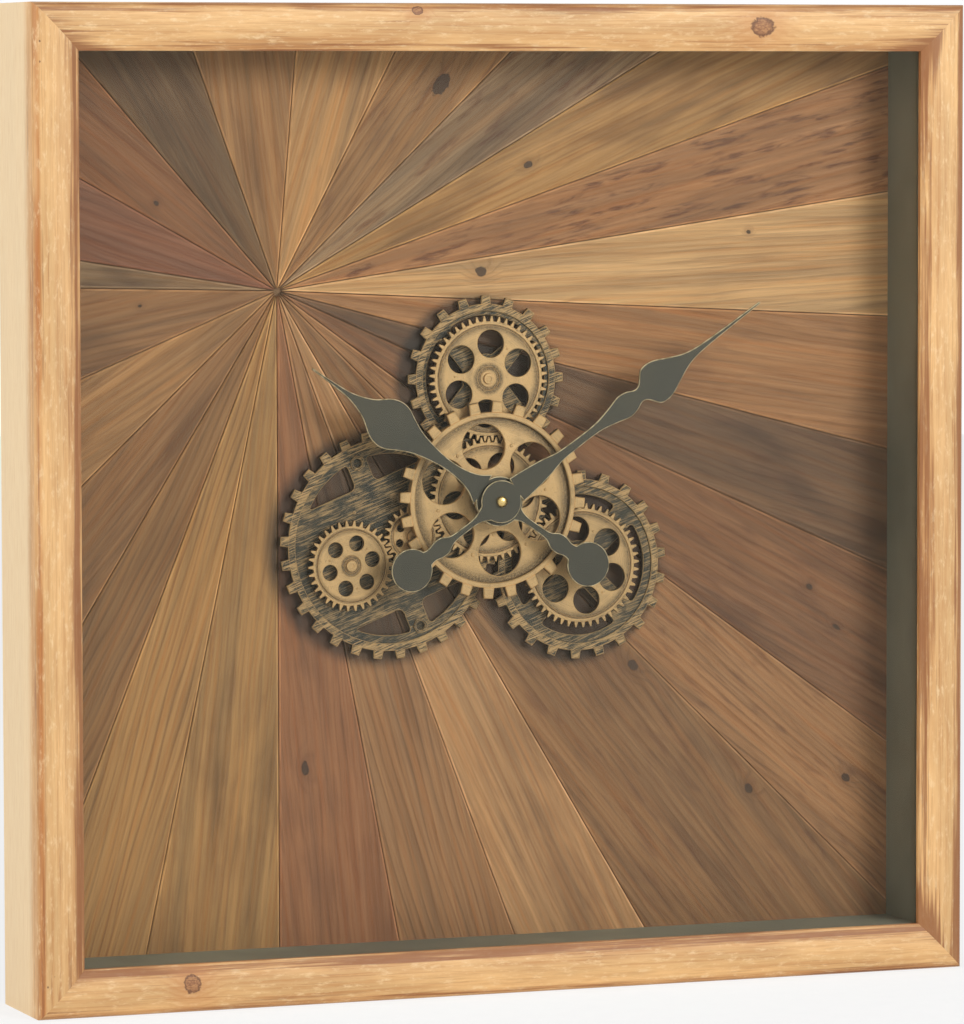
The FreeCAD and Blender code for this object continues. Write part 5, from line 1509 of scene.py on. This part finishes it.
def hand_loop(shares, length, half_width, hub, tail, weight):
    """A hand's whole outline: the widest of arm, hub, tail and round weight at each place."""
    arm = smooth_half(shares, length, half_width)
    back = smooth_half(TAIL_OUTLINE_SHARES, tail, weight)
    places = [-tail - weight * math.cos(math.radians(5 * step)) for step in range(1, 36)]
    places += [hub * math.cos(math.radians(5 * step)) for step in range(37)]
    places += [length * step / 260 for step in range(1, 260)]
    places += [-tail * step / 70 for step in range(1, 70)]
    upper = []
    for along in sorted(set(round(place, 6) for place in places)):
        across = max(arm(along), back(-along))
        if abs(along) < hub:
            across = max(across, math.sqrt(hub ** 2 - along ** 2))
        if abs(along + tail) < weight:
            across = max(across, math.sqrt(weight ** 2 - (along + tail) ** 2))
        if across > 0.0001 and (not upper or along - upper[-1][0] > 0.0002):
            upper.append((along, across))
    upper.append((length, shares[-1][1] * half_width))
    return [(-tail - weight, 0.0)] + [(x, -y) for x, y in upper] + upper[::-1]


def make_hand(name, body, node, shares, sizes, turn):
    length, half_width, hub, tail, weight = sizes
    low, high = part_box(node)
    builder = Builder()
    loop = hand_loop(shares, length, half_width, hub, tail, weight)
    builder.plate([loop], 0, high.y - low.y, 0.0005)
    item = builder.object(name)
    item.data.transform(front_view(AXIS[0], high.y - FRONT, AXIS[1], turn))
    settle(item, "hand", body, node)
    item.data.materials.append(FINISHES["hand_edge"])
    worn = item.data.attributes["edge"]
    for number, face in enumerate(item.data.polygons):
        face.material_index = 1 if worn.data[number].value > 0.5 else 0


class MakeHands(bpy.types.Operator):
    """Minute hand, hour hand and the brass cap"""
    bl_idname = "gear_clock.hands"
    bl_label = "Hands"

    def execute(self, context):
        minutes = 9.2
        make_hand("minute_leaf", "minute_set", "minute_hand", MINUTE_OUTLINE_SHARES,
                  (0.208, 0.0132, 0.013, 0.0705, 0.0131), math.radians(90 - 6 * minutes))
        make_hand("hour_leaf", "hour_set", "hour_hand", HOUR_OUTLINE_SHARES,
                  (0.146, 0.0153, 0.0152, 0.0705, 0.0137), math.radians(150 - minutes / 2))
        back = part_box("hand_cap")[1].y
        cap = Builder()
        radius, side, rise = 0.0034, 0.0011, 0.0015
        dome = [(polar(radius, turn)[0], side + polar(rise, turn)[1]) for turn in range(0, 85, 12)]
        cap.lathe([(0, 0), (radius, 0)] + dome + [(0, side + rise)], 40)
        item = cap.object("brass_cap", front_view(AXIS[0], back - FRONT, AXIS[1]))
        settle(item, "brass", "minute_set", "hand_cap")
        return {"FINISHED"}


# Back: movement case, cover, cells, knob, screws, plates and board

# Solid, name of its piece, width of its eased edges, finish, body and slot
EASED = [("movement_case", "case_shell", 0.0004, "plastic", STILL, "case_plastic"),
         ("battery_cover", "sliding_cover", 0.0002, "plastic", "cover", "case_plastic"),
         ("set_knob", "notched_knob", 0.00015, "plastic", "knob", "case_plastic"),
         ("battery_cells", "cells", 0.0003, "cell", STILL, "cell_skin"),
         ("hanger_plates", "keyhole_plates", 0.0002, "steel", STILL, "screw_steel")]
# Radius and length of each kind of screw's shank
SCREWS = {"wheel_screws": (0.0014, 0.0070), "wood_screws": (0.0012, 0.0085),
          "case_screws": (0.0012, 0.0042)}
HEAD_RADIUS = 0.002
HEAD_HEIGHT = 0.0016


def soften(node, name, width, finish, body, slot):
    """A copy of a solid with its sharp edges eased, standing for that solid."""
    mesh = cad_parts[node].data.copy()
    work = bmesh.new()
    work.from_mesh(mesh)
    bmesh.ops.remove_doubles(work, verts=work.verts, dist=0.000002)
    bmesh.ops.dissolve_limit(work, angle_limit=math.radians(0.5), verts=work.verts,
                             edges=work.edges)
    edges = [edge for edge in work.edges
             if len(edge.link_faces) == 2 and edge.calc_face_angle(0) > math.radians(50)]
    bmesh.ops.bevel(work, geom=edges, offset=width, segments=2, profile=0.6, affect="EDGES",
                    clamp_overlap=True)
    work.to_mesh(mesh)
    work.free()
    shade_by_angle(mesh, 32.0)
    settle(link(name, mesh), finish, body, node)


def screw_head(radius, height, shank, length):
    """A round head with a cross slot."""
    builder = Builder()
    arm = radius * 0.62
    half = radius * 0.13
    cross = [(arm, -half), (arm, half), (half, half), (half, arm), (-half, arm), (-half, half)]
    cross += [(-x, -y) for x, y in cross]
    builder.plate([ring(radius, 28), clockwise(cross)], 0, height, height * 0.3)
    builder.lathe([(0, -length), (shank, -length), (shank, height * 0.3), (0, height * 0.3)], 16)
    return builder


def screw_spots(node):
    """The middle of each separate solid of a node, at its rear."""
    work = bmesh.new()
    work.from_mesh(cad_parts[node].data)
    bmesh.ops.remove_doubles(work, verts=work.verts, dist=0.000002)
    left = set(work.verts)
    spots = []
    while left:
        start = left.pop()
        group = [start]
        for vertex in group:
            for edge in vertex.link_edges:
                other = edge.other_vert(vertex)
                if other in left:
                    left.remove(other)
                    group.append(other)
        right, back, up = [[vertex.co[axis] for vertex in group] for axis in range(3)]
        spots.append(((min(right) + max(right)) / 2, max(back), (min(up) + max(up)) / 2))
    work.free()
    return sorted(spots)


class MakeBack(bpy.types.Operator):
    """Movement case, cover, cells, knob, board and screws"""
    bl_idname = "gear_clock.back"
    bl_label = "Back"

    def execute(self, context):
        for row in EASED:
            soften(*row)
        refinish("back_board", "board")
        for seed, (node, (shank, length)) in enumerate(SCREWS.items()):
            points = [(-x, z, y) for x, y, z in screw_spots(node)]
            head = screw_head(HEAD_RADIUS, HEAD_HEIGHT, shank, length)
            item = at_spots(node + "_heads", points, head, 11 + seed, "steel")
            item.data.transform(back_view(0, -FRONT, 0)
                                @ Matrix.Translation((0, 0, -HEAD_HEIGHT)))
            settle(item, "steel", STILL, node)
        return {"FINISHED"}


# Stage: floor, lights and camera

# The photograph's camera: its place from the middle of the frame's front edge on the floor, and
# its turns in degrees
CAMERA_PLACE = (-1.296234, -3.373330, 0.545342)
CAMERA_TURNS = (20.7125, -3.9855, -0.1141)


def aim(item, target):
    item.rotation_euler = (Vector(target) - item.location).to_track_quat("-Z", "Y").to_euler()


def add_lamp(name, place, size, share):
    """A square soft light; share is the part of full brightness that it gives a facing wall."""
    target = Vector((0, 0, HEIGHT / 2))
    distance = (Vector(place) - target).length
    data = bpy.data.lights.new(name, "AREA")
    data.shape = "SQUARE"
    data.size = size
    data.energy = share * math.pi ** 2 * distance ** 2
    item = bpy.data.objects.new(name, data)
    bpy.context.scene.collection.objects.link(item)
    item.location = place
    aim(item, target)


# Rays that see a white background
WHITE_RAYS = ("Is Camera Ray", "Is Glossy Ray", "Is Transmission Ray")


def floor_finish():
    """Pale matte floor that stays near white for the camera and keeps a soft shadow."""
    make = Finish("pale_floor")
    speck = make.noise(make.place(), 60.0, 3.0)
    matte = make.add("ShaderNodeBsdfDiffuse", {0: make.blend(speck, grey(0.93), grey(0.96))})
    glow = make.add("ShaderNodeEmission", {"Color": grey(1.0), "Strength": 1.0})
    seen, glossy, through = [make.add("ShaderNodeLightPath", out=ray) for ray in WHITE_RAYS]
    share = (seen + glossy + through).maths("MINIMUM", 1.0) * 0.72
    return make.close(make.add("ShaderNodeMixShader", {0: share, 1: matte, 2: glow}))


def set_world(strength):
    world = bpy.data.worlds.new("Studio")
    world.use_nodes = True
    tree = world.node_tree
    tree.nodes.clear()
    path = tree.nodes.new("ShaderNodeLightPath").outputs
    white = path[WHITE_RAYS[0]]
    for ray in WHITE_RAYS[1:]:
        white = tree_node(tree, "ShaderNodeMath", {0: white, 1: path[ray]},
                          {"operation": "MAXIMUM"}).outputs[0]
    level = tree_node(tree, "ShaderNodeMath", {0: white, 1: 1.0 - strength, 2: strength},
                      {"operation": "MULTIPLY_ADD"})
    light = tree_node(tree, "ShaderNodeBackground", {"Color": grey(1.0),
                                                     "Strength": level.outputs[0]})
    tree_node(tree, "ShaderNodeOutputWorld", {0: light.outputs[0]})
    bpy.context.scene.world = world


class MakeStage(bpy.types.Operator):
    """Floor, soft lights and camera"""
    bl_idname = "gear_clock.stage"
    bl_label = "Stage"

    def execute(self, context):
        scene = context.scene
        stage = scene.clock_stage
        floor = Builder()
        floor.plate([ring(6.0, 64)], -0.02, 0.0, 0.001)
        item = floor.object("pale_floor")
        item.data.materials.append(floor_finish())
        add_lamp("key_light", (1.2, -2.5, 1.35), 0.9, stage.key_strength)
        add_lamp("fill_light", (-2.6, -0.9, 1.1), 1.8, stage.fill_strength)
        set_world(stage.sky_strength)
        self.place_camera(scene, stage)
        scene.view_settings.view_transform = "Standard"
        return {"FINISHED"}

    def place_camera(self, scene, stage):
        yaw, pitch, roll = [math.radians(turn) for turn in CAMERA_TURNS]
        ahead = Vector((math.sin(yaw) * math.cos(pitch), math.cos(yaw) * math.cos(pitch),
                        math.sin(pitch)))
        level = Vector((math.cos(yaw), -math.sin(yaw), 0))
        upward = level.cross(ahead)
        right = level * math.cos(roll) + upward * math.sin(roll)
        up = upward * math.cos(roll) - level * math.sin(roll)
        turned = Matrix((right, up, -ahead)).transposed().to_4x4()
        data = bpy.data.cameras.new("Camera")
        data.lens = stage.lens
        data.sensor_width = 36.0
        data.clip_start = 0.05
        camera = bpy.data.objects.new("Camera", data)
        scene.collection.objects.link(camera)
        right, back, up = CAMERA_PLACE
        camera.matrix_world = Matrix.Translation((right, FRONT + back, up)) @ turned
        scene.camera = camera


class GearClockPanel(bpy.types.Panel):
    """Lists the steps that dress the clock"""
    bl_label = "Gear clock"
    bl_idname = "VIEW3D_PT_gear_clock"
    bl_space_type = "VIEW_3D"
    bl_region_type = "UI"
    bl_category = "Gear clock"

    def draw(self, context):
        for step in STEPS:
            self.layout.operator(step.bl_idname)
        for group in GROUPS:
            values = getattr(context.scene, group)
            for name in values.bl_rna.properties.keys():
                if name not in ("rna_type", "name"):
                    self.layout.prop(values, name)


GROUPS = {"clock_frame": ClockFrameSizes, "clock_gears": ClockGearSizes,
          "clock_colours": ClockColours, "clock_stage": ClockStage}
STEPS = [MakeFinishes, MakeFrame, MakeGlass, MakePlanks, MakeWheels, MakeFineGears,
         MakeCentreGear, MakePins, MakeHands, MakeBack, MakeStage]


def register():
    for kind in list(GROUPS.values()) + STEPS + [GearClockPanel]:
        bpy.utils.register_class(kind)
    for name, kind in GROUPS.items():
        setattr(bpy.types.Scene, name, PointerProperty(type=kind))


def unregister():
    for name in GROUPS:
        delattr(bpy.types.Scene, name)
    for kind in [GearClockPanel] + STEPS[::-1] + list(GROUPS.values()):
        bpy.utils.unregister_class(kind)


def main():
    register()
    for step in STEPS:
        group, name = step.bl_idname.split(".")
        getattr(getattr(bpy.ops, group), name)()


if __name__ == "__main__":
    main()
